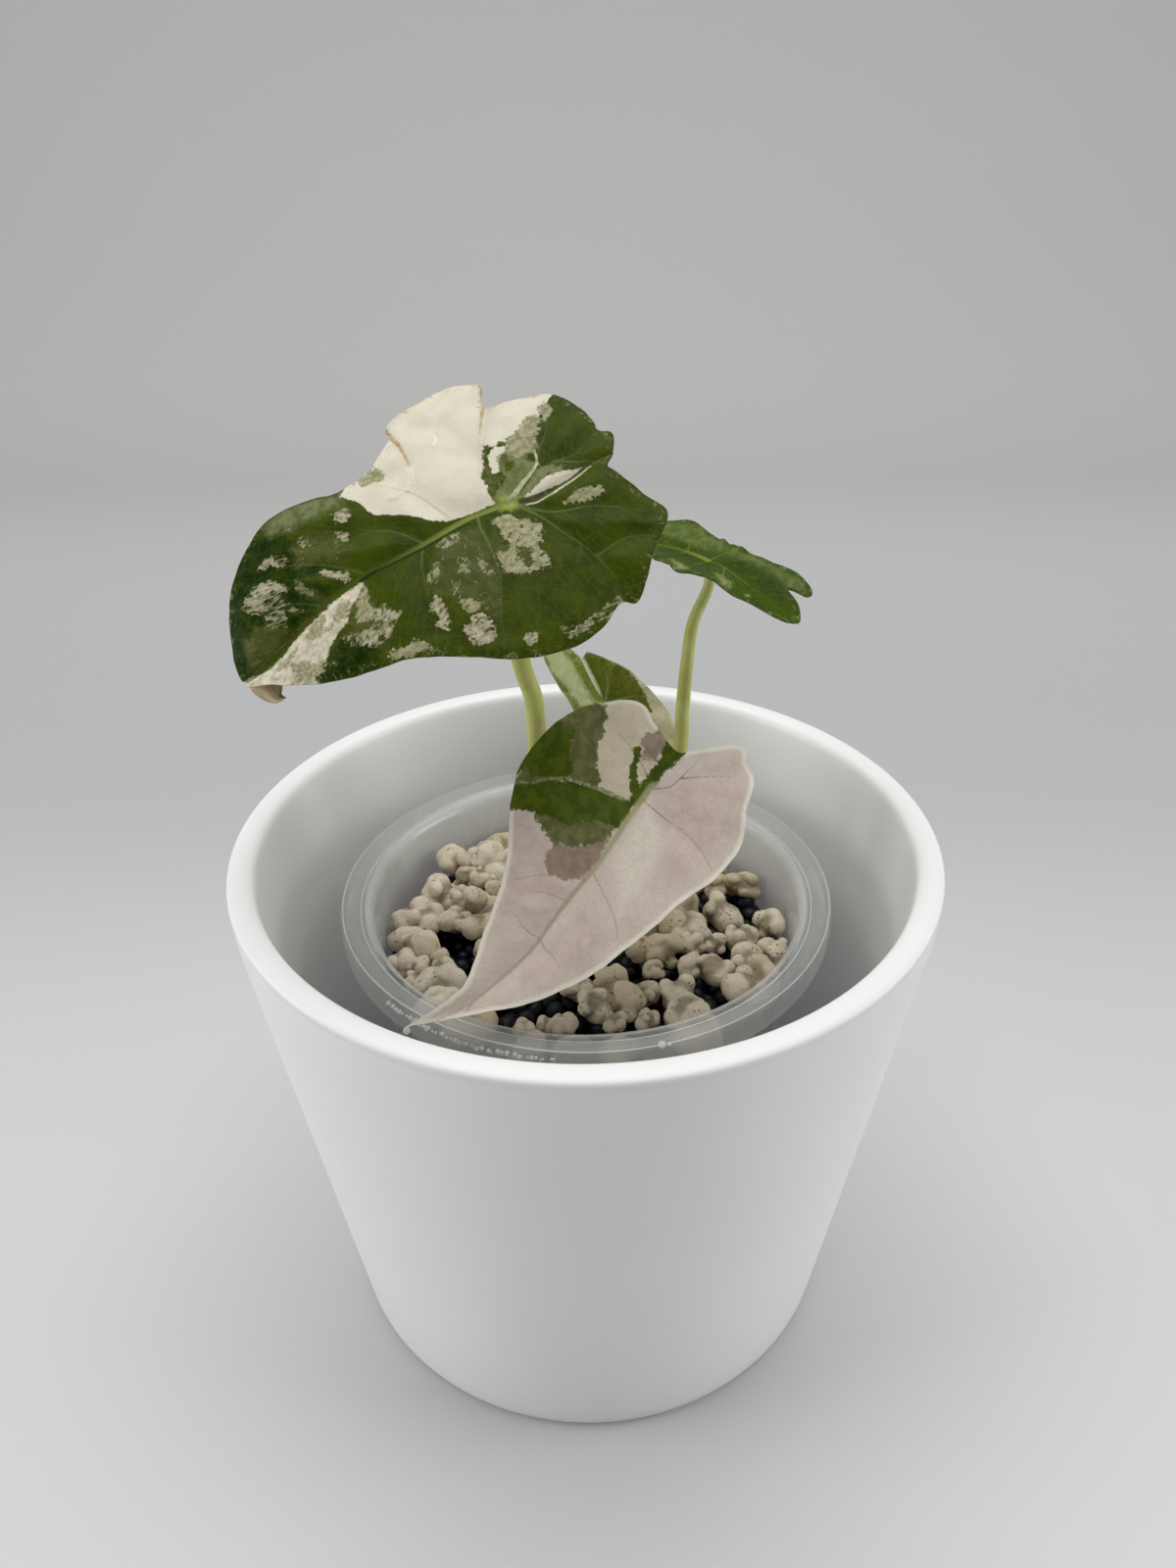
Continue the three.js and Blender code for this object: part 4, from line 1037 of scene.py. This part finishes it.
def cup_material():
    g = Graph("cup_clear")
    place = g.place()
    across, deep, height = g.node("ShaderNodeSeparateXYZ", {"Vector": place}).outputs
    flat = g.node("ShaderNodeCombineXYZ", {0: across, 1: deep}).outputs[0]
    radius = g.node("ShaderNodeVectorMath", {0: flat}, operation="LENGTH").outputs["Value"]
    cloud = g.noise(place, 60.0, 3, 0.55)
    colour = g.mix(g.step(cloud, 0.3, 0.7), (220, 222, 219), (234, 235, 232))
    tint = g.times(g.step(height, 0.0925, 0.084), g.step(cloud, 0.35, 0.6))
    colour = g.mix(g.times(tint, 0.5), colour, (190, 176, 186))
    lip = g.step(radius, 0.0432, 0.0438)
    # Painted highlights on the lip: where the lines run, the cup is whiter and less clear
    lines = 0.0
    for at, half in LIP_HIGHLIGHTS:
        off = g.math("ABSOLUTE", g.math("SUBTRACT", radius, at * MM))
        lines = g.math("ADD", g.step(off, half * MM, 0.3 * half * MM), lines)
    lines = g.times(lines, g.step(height, 0.0944, 0.0949))
    smears = g.noise(g.stretch(place, (1.0, 1.0, 0.25)), 420.0, 4, 0.65)
    facing = g.node("ShaderNodeLayerWeight", {"Blend": 0.35}).outputs["Facing"]
    alpha = g.math("MULTIPLY_ADD", lip, -0.25, 0.33)
    alpha = g.math("MULTIPLY_ADD", facing, 0.16, alpha)
    alpha = g.math("MULTIPLY_ADD", g.step(smears, 0.5, 0.75), 0.04, alpha)
    alpha = g.math("MULTIPLY_ADD", lines, 0.36, alpha, clamp=True)
    bump = g.bump(g.math("MULTIPLY_ADD", lines, 0.6, g.noise(place, 260.0, 2, 0.5)), 0.06, 0.5)
    g.set(Base_Color=g.mix(lines, colour, (246, 247, 245)), Roughness=0.12, Normal=bump, Alpha=alpha,
          Specular_IOR_Level=0.7)
    return g.material


def add_cup():
    def wobble(angles, height):
        share = np.clip((height - 60) / 36, 0, 1)
        return share * (0.12 * np.sin(2 * angles + 0.6) + 0.07 * np.sin(5 * angles))
    points, faces = turned(CUP_PROFILE, 192, wobble)
    piece("cup", points, faces, cup_material(), "growing_cup", "cup_clear", sharp=50)


# Substrate: dark granules in the gaps of a layer of pumice pebbles

# Pebbles seen in the photograph as (x, y, z, radius, tone, warmth), and open spots as (x, y, radius)
SEEN_RIGHT = points_in("""
    28.1 5.6 84.3 3.5 0.75 0.3, 33.4 15.4 84.3 2.9 0.35 0.7, 28.2 15.3 84.3 2.2 0.4 0.5,
    17.9 2.4 84.3 3.2 0.45 0.6, 15.3 -6.8 84.3 3.2 0.3 0.8, 21.9 -3.7 84.3 2.8 0.6 0.5,
    20.5 -11.4 84.3 2.3 0.55 0.5, 24.7 -12.6 84.3 3.1 0.6 0.4, 25.9 -4.2 84.3 2.1 0.6 0.4,
    31.3 -2.8 84.3 2.9 0.55 0.3, 37.4 1.4 84.3 3 0.7 0.3, 31.5 -10.5 84.3 3.3 0.6 0.3,
    37 -7.2 84.3 2.9 0.65 0.6, 30 -17.8 84.3 3.2 0.6 0.5, 17.5 -19.5 84.3 3 0.75 0.2,
    18.6 -25.1 84.3 3.6 0.8 0.3, 7.7 -22.2 84.3 2.9 0.5 0.5, 1.3 -22.9 84.3 3.1 0.8 0.3,
    4.8 -15.3 84.3 3 0.55 1, 11.8 -20 84.3 2.2 0.5 0.3, 11.1 -27 84.3 1.9 0.7 0.2,
    5.1 -27.1 84.3 1.8 0.75 0.7, -1.6 -18.3 84.3 2.5 0.6 0.4, -4.4 -28.2 84.3 2.2 0.7 0.3,
    -7.4 -27.9 84.3 1.7 0.65 0.4, -11.4 -28.8 84.3 1.8 0.7 0.3, 10.5 -5.6 84.3 2.4 0.3 0.8,
    13.1 -12.9 84.3 1.9 0.4 0.5""")
SEEN_LEFT = points_in("""
    -21.5 23.2 87.5 3.6 0.85 0.7, -28.8 21 87.5 2.6 0.6 0.5, -26 16.7 86.1 2.4 0.6 0.5,
    -22.2 16.3 86.1 2.6 0.7 0.5, -19 12.9 86.1 2.3 0.6 0.4, -30.8 11.1 86.1 3.5 0.95 0.9,
    -26.5 9.2 86.1 2.4 0.7 0.5, -23 7.4 86.1 2.7 0.7 0.5, -26.8 2.4 85.1 2.9 0.6 0.5,
    -22.1 0.8 85.1 2.9 0.55 0.4, -33.1 2.9 85.1 3.4 0.7 0.4, -37.4 2.9 85.1 2.4 0.6 0.3,
    -33.4 -5.2 85.1 3.2 0.75 0.4, -36.2 -9.2 84.3 2.7 0.65 0.4, -33.1 -10.4 84.3 1.9 0.7 0.3,
    -29.8 -7.1 84.3 2.1 0.6 0.4, -28.1 -12 84.3 2 0.7 0.3, -27.7 -17 84.3 3.9 0.85 0.2,
    -32.8 -15.4 84.3 1.9 0.6 0.4, -20.3 -5.4 84.3 2.1 0.5 0.4""")
GAPS = points_in("""
    33.9 11.3 2.2, 39.7 9.4 2.2, 22.9 11.5 2, 27.3 -1.5 1, 29.1 -9.4 1.4, 24.6 -19.2 2.2, 17.1 -11.6 1.6,
    9.8 -11.4 1.8, -14 -23.2 2.7, -9.9 -20.4 2.4, -5.1 -20.5 2.6, -16.8 -23.7 2.2, 0.8 -25.9 2.6,
    8.9 -25.8 1.4, -23.8 -4.7 2.9, -27.6 -3.2 1.4, -20.8 -9.4 2.2, 13 -27.3 1.2, 18.8 -12.3 1.2,
    32.1 -19.2 1.2, -21 -22 3, -13.5 -29.5 1.5, 24.5 -26.5 2.4""")

BED_TOP, WALL_GAP = 80.5, 0.35
STEM = dict(x=5, y=4, radius=6.2, top=91, bottom=64, root_radius=0.9, roots=6)
PEBBLE = dict(radius=4.5, spread=0.5, pitch=7.5, rings=5, open_share=0.22, seed=7)
PILE = dict(count=13, height=4.6, start=17, reach=19, first_angle=100, angles=100)
GRANULE = dict(tries=5000, radius=1.4, spread=1.2, apart=2.7, height=80.0, rise=1.4)


def pebble_list():
    """Pebbles as (x, y, z, radius), by the same rule as in the part's source: on rings that fill the cup,
    fewer of them at the front right, and in a pile at the back left.
    """
    draw = draws(PEBBLE["seed"])

    def size():
        return PEBBLE["radius"] + PEBBLE["spread"] * (2 * next(draw) - 1)

    found = []
    outer = cup_inside(BED_TOP) - PEBBLE["radius"]
    for ring in range(PEBBLE["rings"]):
        ring_radius = outer - ring * PEBBLE["pitch"]
        count = math.floor(2 * math.pi * ring_radius / PEBBLE["pitch"] + 0.5)
        for k in range(count):
            angle = (k + 0.35 * next(draw) + 0.5 * ring) / count * 2 * math.pi
            away = ring_radius - 0.8 * next(draw)
            radius = size()
            z = BED_TOP + radius * (0.55 + 0.25 * next(draw))
            x, y = away * math.cos(angle), away * math.sin(angle)
            open_share = PEBBLE["open_share"] if x > -12 and y < 14 else 0.03
            if next(draw) > open_share:
                found.append((x, y, z, radius))
    for _ in range(PILE["count"]):
        angle = math.radians(PILE["first_angle"] + PILE["angles"] * next(draw))
        away = PILE["start"] + PILE["reach"] * math.sqrt(next(draw))
        radius = size()
        found.append((away * math.cos(angle), away * math.sin(angle), BED_TOP + PILE["height"], radius))
    return [p for p in found if math.hypot(p[0] - STEM["x"], p[1] - STEM["y"]) > STEM["radius"] + 1]


def lumpy(directions, draw):
    """Radius in each direction of a clump: a few lobes with smaller knobs on them, melted together."""
    def ball_reach(centre, own):
        near = directions @ centre
        inside = own**2 - centre @ centre + near**2
        return np.where(inside > 0, near + np.sqrt(np.maximum(inside, 0)), 0.2)

    def way(flat):
        made = np.array([2 * next(draw) - 1, 2 * next(draw) - 1, flat * (2 * next(draw) - 1)])
        return made / np.linalg.norm(made)

    sharpness, core, lobes, knobs = 13.0, 0.54, 4, 8
    total = np.exp(sharpness * ball_reach(np.zeros(3), core))
    for _ in range(lobes):
        total = total + np.exp(sharpness * ball_reach(way(0.7) * 0.42, 0.44 + 0.14 * next(draw)))
    for _ in range(knobs):
        knob = ball_reach(way(0.9) * (0.54 + 0.14 * next(draw)), 0.25 + 0.14 * next(draw))
        total = total + np.exp(sharpness * knob)
    return np.log(total) / sharpness


def waves(directions, draw, count, fineness):
    """The mean of waves that run in drawn directions, between -1 and 1."""
    total = np.zeros(len(directions))
    for _ in range(count):
        axis = np.array([next(draw) - 0.5 for _ in range(3)])
        axis *= fineness * (0.7 + 0.6 * next(draw)) / np.linalg.norm(axis)
        total += np.sin(directions @ axis + 2 * math.pi * next(draw))
    return total / count


def pebble_material():
    g = Graph("pumice")
    place = g.place()
    tone, warmth, crease = g.value("tone"), g.value("warmth"), g.value("crease")
    colour = g.mix(tone, (184, 172, 140), (244, 236, 218))
    colour = g.mix(g.times(warmth, 0.5), colour, g.mix(tone, (206, 186, 136), (236, 212, 192)))
    cloud = g.noise(place, 330.0, 4, 0.6)
    colour = g.mix(g.times(g.step(cloud, 0.42, 0.72), 0.4), colour, (176, 160, 126))
    # Painted shade: darker in the creases between the lobes and knobs of each clump
    colour = g.mix(g.times(g.step(crease, 0.1, -1.8), 0.65), colour, (108, 94, 62))
    pores = g.cells(place, 1100.0)
    where = g.step(g.noise(place, 240.0, 2), 0.5, 0.6)
    pits = g.times(g.step(pores, 0.3, 0.14), where)
    colour = g.mix(g.times(pits, 0.6), colour, (72, 60, 44))
    grit = g.noise(place, 1300.0, 5, 0.72)
    height = g.math("SUBTRACT", grit, g.times(pits, 0.6))
    g.set(Base_Color=colour, Roughness=0.9, Normal=g.bump(height, 0.5, 1.0), Specular_IOR_Level=0.1)
    return g.material


def granule_material():
    g = Graph("granules_dark")
    place = g.place()
    cloud = g.noise(place, 420.0, 3, 0.6)
    colour = g.mix(g.step(cloud, 0.35, 0.7), (2, 5, 9), (10, 14, 21))
    dust = g.step(g.noise(place, 1400.0, 3, 0.6), 0.66, 0.76)
    colour = g.mix(g.times(dust, 0.07), colour, (90, 88, 80))
    grain = g.bump(g.noise(place, 1100.0, 4, 0.7), 0.1, 0.9)
    g.set(Base_Color=colour, Roughness=0.38, Normal=grain, Specular_IOR_Level=0.25)
    return g.material


def hold_in_cup(points):
    """Moves points that reach past the cup's wall back to its inside."""
    away = np.hypot(points[:, 0], points[:, 1])
    limit = cup_inside(points[:, 2]) - WALL_GAP
    share = np.where(away > limit, limit / np.maximum(away, 1e-6), 1.0)
    points[:, 0] *= share
    points[:, 1] *= share
    return points


def add_pebbles(name, pebbles, detail, draw, material):
    """Clumps from (x, y, z, radius, tone, warmth)."""
    directions, triangles = ball(detail)
    parts, looks = [], []
    for x, y, z, radius, tone, warmth in pebbles:
        shape = lumpy(directions, draw) + 0.05 * waves(directions, draw, 5, 9.0)
        shape = shape + 0.03 * waves(directions, draw, 7, 21.0)
        turn, stretch = math.pi * next(draw), 1.0 + 0.3 * next(draw)
        along = np.array((math.cos(turn), math.sin(turn), 0.0))
        made = directions * (shape * radius / np.percentile(shape, 40))[:, None]
        made += (made @ along * (stretch - 1))[:, None] * along
        parts.append((hold_in_cup(made + (x, y, z)), triangles))
        # How far each point lies below the clump's middle reach; the material paints shade where it is low
        crease = (shape - np.median(shape)) / 0.12
        looks.append([np.full(len(crease), tone), np.full(len(crease), warmth), crease])
    values = dict(zip(("tone", "warmth", "crease"), np.hstack(looks)))
    piece(name, *joined(parts), material, "pumice_pebbles", "pumice", sharp=80, values=values)


def add_granules(pebbles, draw):
    """The dark bed in the cup, with granules on its top wherever the pebbles leave room."""
    body = [(0, 6.6), (cup_inside(6.6) - 2.3, 6.6), (cup_inside(8.6) - WALL_GAP, 8.6)]
    body += [(cup_inside(h) - WALL_GAP, h) for h in np.linspace(12, 79, 12)]
    body += [(cup_inside(80) - 1.3, 80), (0, 80)]
    directions, triangles = ball(2)
    parts, placed = [turned(body, 96)], []
    for _ in range(GRANULE["tries"]):
        angle, away = 2 * math.pi * next(draw), (cup_inside(BED_TOP) - 2.6) * math.sqrt(next(draw))
        x, y = away * math.cos(angle), away * math.sin(angle)
        radius = GRANULE["radius"] + GRANULE["spread"] * next(draw)
        clear = all((p[0] - x) ** 2 + (p[1] - y) ** 2 > (0.55 * p[3]) ** 2 for p in pebbles)
        apart = all((p[0] - x) ** 2 + (p[1] - y) ** 2 > GRANULE["apart"] ** 2 for p in placed)
        if clear and apart and math.hypot(x - STEM["x"], y - STEM["y"]) > STEM["radius"] + 1.5:
            placed.append((x, y))
            lump = 1 + 0.1 * waves(directions, draw, 3, 4.0)
            z = GRANULE["height"] + GRANULE["rise"] * next(draw)
            parts.append((hold_in_cup(directions * (lump * radius)[:, None] + (x, y, z)), triangles))
    piece("granules", *joined(parts), granule_material(), "substrate_bed", "granules_dark", sharp=60)


def add_substrate(pebbles):
    draw = draws(31)
    material = pebble_material()
    seen = SEEN_RIGHT + SEEN_LEFT
    rest = []
    for x, y, z, radius in pebbles:
        apart = min(math.hypot(p[0] - x, p[1] - y) - 0.55 * p[3] for p in seen)
        open_spot = any(math.hypot(p[0] - x, p[1] - y) < p[2] + 2.6 for p in GAPS)
        if apart > 1.7 and not open_spot:
            rest.append((x, y, z, radius * (0.7 + 0.25 * next(draw)), next(draw), next(draw)))
    for name, some, detail in (("right", SEEN_RIGHT, 4), ("left", SEEN_LEFT, 4), ("rest", rest, 3)):
        add_pebbles(f"pumice_{name}", some, detail, draw, material)
    add_granules(seen + rest, draw)


# Stem base

def stem_material():
    g = Graph("stem")
    place = g.place()
    cloud = g.noise(place, 200.0, 4, 0.6)
    colour = g.mix(g.step(cloud, 0.35, 0.65), (150, 142, 96), (176, 166, 124))
    rings = g.noise(g.stretch(place, (0.3, 0.3, 1.0)), 900.0, 3, 0.6)
    colour = g.mix(g.times(g.step(rings, 0.5, 0.7), 0.5), colour, (112, 92, 60))
    g.set(Base_Color=colour, Roughness=0.6, Normal=g.bump(rings, 0.25, 0.9), Specular_IOR_Level=0.35)
    return g.material


def add_stem():
    x, y, radius, top, bottom = (STEM[k] for k in ("x", "y", "radius", "top", "bottom"))
    foot = [(0, 0), (0.55, 1), (0.9, 6), (0.8, 12)]
    rings = [(0.97 + 0.05 * (k % 2), 15 + k * 1.5) for k in range(7)]
    head = [(0.95, -2), (0.8, -0.8), (0.4, -0.2), (0, 0)]
    profile = [(radius * share, bottom + height) for share, height in foot + rings]
    profile += [(radius * share, top + height) for share, height in head]

    def wobble(angles, height):
        return 0.22 * np.sin(3 * angles + height) + 0.12 * np.sin(7 * angles)

    points, faces = turned(rounded(profile, 4), 40, wobble)
    parts = [(np.array(points) + (x, y, 0), faces)]
    for number in range(STEM["roots"]):
        turn = number / STEM["roots"] * 2 * math.pi
        reach = [3, 9, 16 + 3 * (number % 2), 20 - 4 * (number % 3)]
        drop = [bottom + 6, bottom, bottom - 14, bottom - 32 - 5 * (number % 3)]
        line = [(x + out * math.cos(turn + 0.2 * i), y + out * math.sin(turn + 0.2 * i), drop[i])
                for i, out in enumerate(reach)]
        path = smooth_line(line, 8)
        radii = STEM["root_radius"] * np.interp(np.linspace(0, 1, len(path)), (0, 0.5, 1), (1.5, 1, 0.6))
        parts.append(bar(path, radii, 10))
    piece("stem", *joined(parts), stem_material(), "stem_and_roots", "stem", sharp=60)


# Small things: water drops and the dry curled leaf tip

def water_material():
    g = Graph("water")
    cloud = g.noise(g.place(), 300.0)
    # The whitish colour and part transmission stand in for the sparkle of the drops: painted highlight on
    # real drops
    g.set(Base_Color=g.mix(cloud, (232, 238, 238), (246, 250, 250)), Roughness=0.03, IOR=1.33,
          Transmission_Weight=0.55, Specular_IOR_Level=0.8)
    return g.material


def add_drops():
    """Drops as (x, y, z, radius, height share): two on the lip, a row below it and one at a leaf's tip."""
    directions, triangles = ball(3)
    spots = [(12.4, -46.4, 96.4, 0.75, 0.8), (13.6, -46.2, 96.3, 0.4, 0.8)]
    draw = draws(17)
    row, lip_radius = 44, 48.25
    for k in range(row):
        angle = math.radians(224 + 40 * k / row + 0.9 * next(draw))
        z = 94.9 - 0.6 * next(draw)
        spots.append((lip_radius * math.cos(angle), lip_radius * math.sin(angle), z,
                      0.24 + 0.26 * next(draw), 1.0))
    tip = leaf_points(LEAVES["front"], np.array([(58.6, -0.8)]), np.array([-0.7]))[0]
    spots.append((*tip, 0.62, 1.1))
    parts = [(directions * radius * (1, 1, share) + (x, y, z), triangles) for x, y, z, radius, share in spots]
    piece("drops", *joined(parts), water_material(), slot="cup_clear")


def dry_tip_material():
    g = Graph("dry_tip")
    place = g.place("plane")
    ribs = g.noise(g.stretch(place, (0.4, 3.0, 1.0)), 1.2, 3, 0.6)
    colour = g.mix(g.step(ribs, 0.35, 0.65), (186, 164, 128), (220, 204, 172))
    # Painted shade: darker towards the inner edge of the flap, inside its curl
    inner = g.node("ShaderNodeSeparateXYZ", {"Vector": place}).outputs[1]
    colour = g.mix(g.step(inner, 0.35, 0.8), colour, (146, 124, 90))
    g.set(Base_Color=colour, Roughness=0.55, Normal=g.bump(ribs, 0.12, 0.9))
    return g.material


def add_dry_tip(leaf):
    """The dead tip of the large leaf hangs down as a papery flap that ends in a point."""
    start = leaf_points(leaf, np.array([(50.9, 0.0)]), np.array([-0.1]))[0]
    outer = smooth_line([(-0.2, 0.25), (0.6, -1.3), (2.1, -2.55), (3.8, -3.15), (4.9, -3.0), (5.9, -2.35)], 8)
    inner = smooth_line([(4.6, 0.3), (5.0, -0.2), (5.1, -0.9), (5.0, -1.5), (5.3, -1.9), (6.0, -2.3)], 8)
    toward = np.array((0.0, -math.cos(CAMERA_PITCH), math.sin(CAMERA_PITCH)))
    upward = np.array((0.0, math.sin(CAMERA_PITCH), math.cos(CAMERA_PITCH)))
    columns, thickness = 12, 0.16
    front, back, place = [], [], []
    for i, (a, b) in enumerate(zip(outer, inner)):
        share = i / (len(outer) - 1)
        for s in np.linspace(0, 1, columns):
            x, z = a + (b - a) * s
            bulge = (0.9 * math.sin(math.pi * min(s * 1.15, 1)) - 0.9 * s) * (1 - share) ** 0.5
            bulge += 0.12 * math.sin(9 * s + 6 * share)
            spot = start + (x, 0, 0) + z * upward + (bulge - 0.2) * toward
            front.append(spot)
            back.append(spot - thickness * toward)
            place.append((4 * share, s, 0.0))
    count, rows, faces = len(front), len(outer), []
    for i in range(rows - 1):
        for k in range(columns - 1):
            at = i * columns + k
            face = (at, at + columns, at + columns + 1, at + 1)
            faces += [face, tuple(j + count for j in face[::-1])]
    ring = [*range(columns), *(i * columns + columns - 1 for i in range(1, rows))]
    ring += [(rows - 1) * columns + k for k in range(columns - 2, -1, -1)]
    ring += [i * columns for i in range(rows - 2, 0, -1)]
    faces += [(i, k, k + count, i + count) for i, k in zip(ring, ring[1:] + ring[:1])]
    piece("dry_tip", np.vstack([front, back]), faces, dry_tip_material(), slot="leaf_green", sharp=60,
          values={"plane": np.vstack([place, place])})


# Stage and light

def add_stage():
    g = Graph("stage")
    place = g.place()
    along = g.node("ShaderNodeSeparateXYZ", {"Vector": place}).outputs[1]
    # Painted light falloff: the floor is lightest at the front, darkest about 0.2 m back and lighter again up
    # the wall
    colour = g.mix(g.step(along, 0.0, 0.2), (205, 206, 206), (178, 179, 180))
    colour = g.mix(g.step(along, 0.22, 0.52), colour, (191, 191, 190))
    colour = g.mix(g.step(along, 0.74, 0.9), colour, (188, 188, 187))
    paper = g.noise(place, 300.0, 3)
    g.set(Base_Color=colour, Roughness=0.6, Specular_IOR_Level=0.2, Normal=g.bump(paper, 0.02, 0.3))
    # A floor that curves up into a wall behind the plant, in metres
    depth, radius, height, half = 0.62, 0.3, 1.6, 2.2
    line = [(-half, 0.0), (depth, 0.0)]
    turn = np.linspace(0.1, math.pi / 2, 14)
    line += [(depth + radius * math.sin(a), radius * (1 - math.cos(a))) for a in turn]
    line.append((depth + radius, height))
    points = [(x, y, z) for y, z in line for x in (-half, half)]
    faces = [(2 * i, 2 * i + 1, 2 * i + 3, 2 * i + 2) for i in range(len(line) - 1)]
    mesh = bpy.data.meshes.new("stage")
    mesh.from_pydata(points, [], faces)
    mesh.shade_smooth()
    mesh.materials.append(g.material)
    in_scene("stage", mesh)


def add_light(name, place, target, size, power):
    """A light with an area. Places and sizes are in metres and the power in watts."""
    data = bpy.data.lights.new(name, "AREA")
    data.shape, data.size, data.size_y, data.energy = "RECTANGLE", size[0], size[1], power
    light = in_scene(name, data)
    light.location = place
    light.rotation_euler = (Vector(target) - Vector(place)).to_track_quat("-Z", "Y").to_euler()


def add_lights():
    world = bpy.data.worlds.new("world")
    world.use_nodes = True
    sky = world.node_tree.nodes["Background"]
    sky.inputs["Color"].default_value, sky.inputs["Strength"].default_value = (1.0, 1.0, 1.0, 1.0), 0.34
    bpy.context.scene.world = world
    bpy.context.scene.view_settings.view_transform = "Standard"
    add_light("above", (0.0, 0.12, 0.9), (0.0, 0.0, 0.1), (0.8, 0.7), 5.4)
    add_light("left", (-1.05, -0.15, 0.38), (0.0, 0.0, 0.07), (0.6, 0.5), 5.3)
    add_light("right", (1.05, -0.06, 0.38), (0.0, 0.0, 0.07), (0.6, 0.5), 4.6)


# Assembly

add_camera()
add_stage()
add_lights()
add_pot()
add_cup()
add_substrate(pebble_list())
add_stem()
BLADE_LOOKS = {
    "large": (large_leaf_material, "leaf_green"), "front": (front_leaf_material, "leaf_pink"),
    "right": (right_leaf_material, "leaf_green"), "back": (back_leaf_material, "leaf_green"),
}
stalk = stalk_material()
for leaf_name, leaf_facts in LEAVES.items():
    look, leaf_slot = BLADE_LOOKS[leaf_name]
    add_blade(leaf_name, leaf_facts, look(), leaf_slot)
    add_petiole(leaf_name, leaf_facts, stalk)
add_drops()
add_dry_tip(LEAVES["large"])
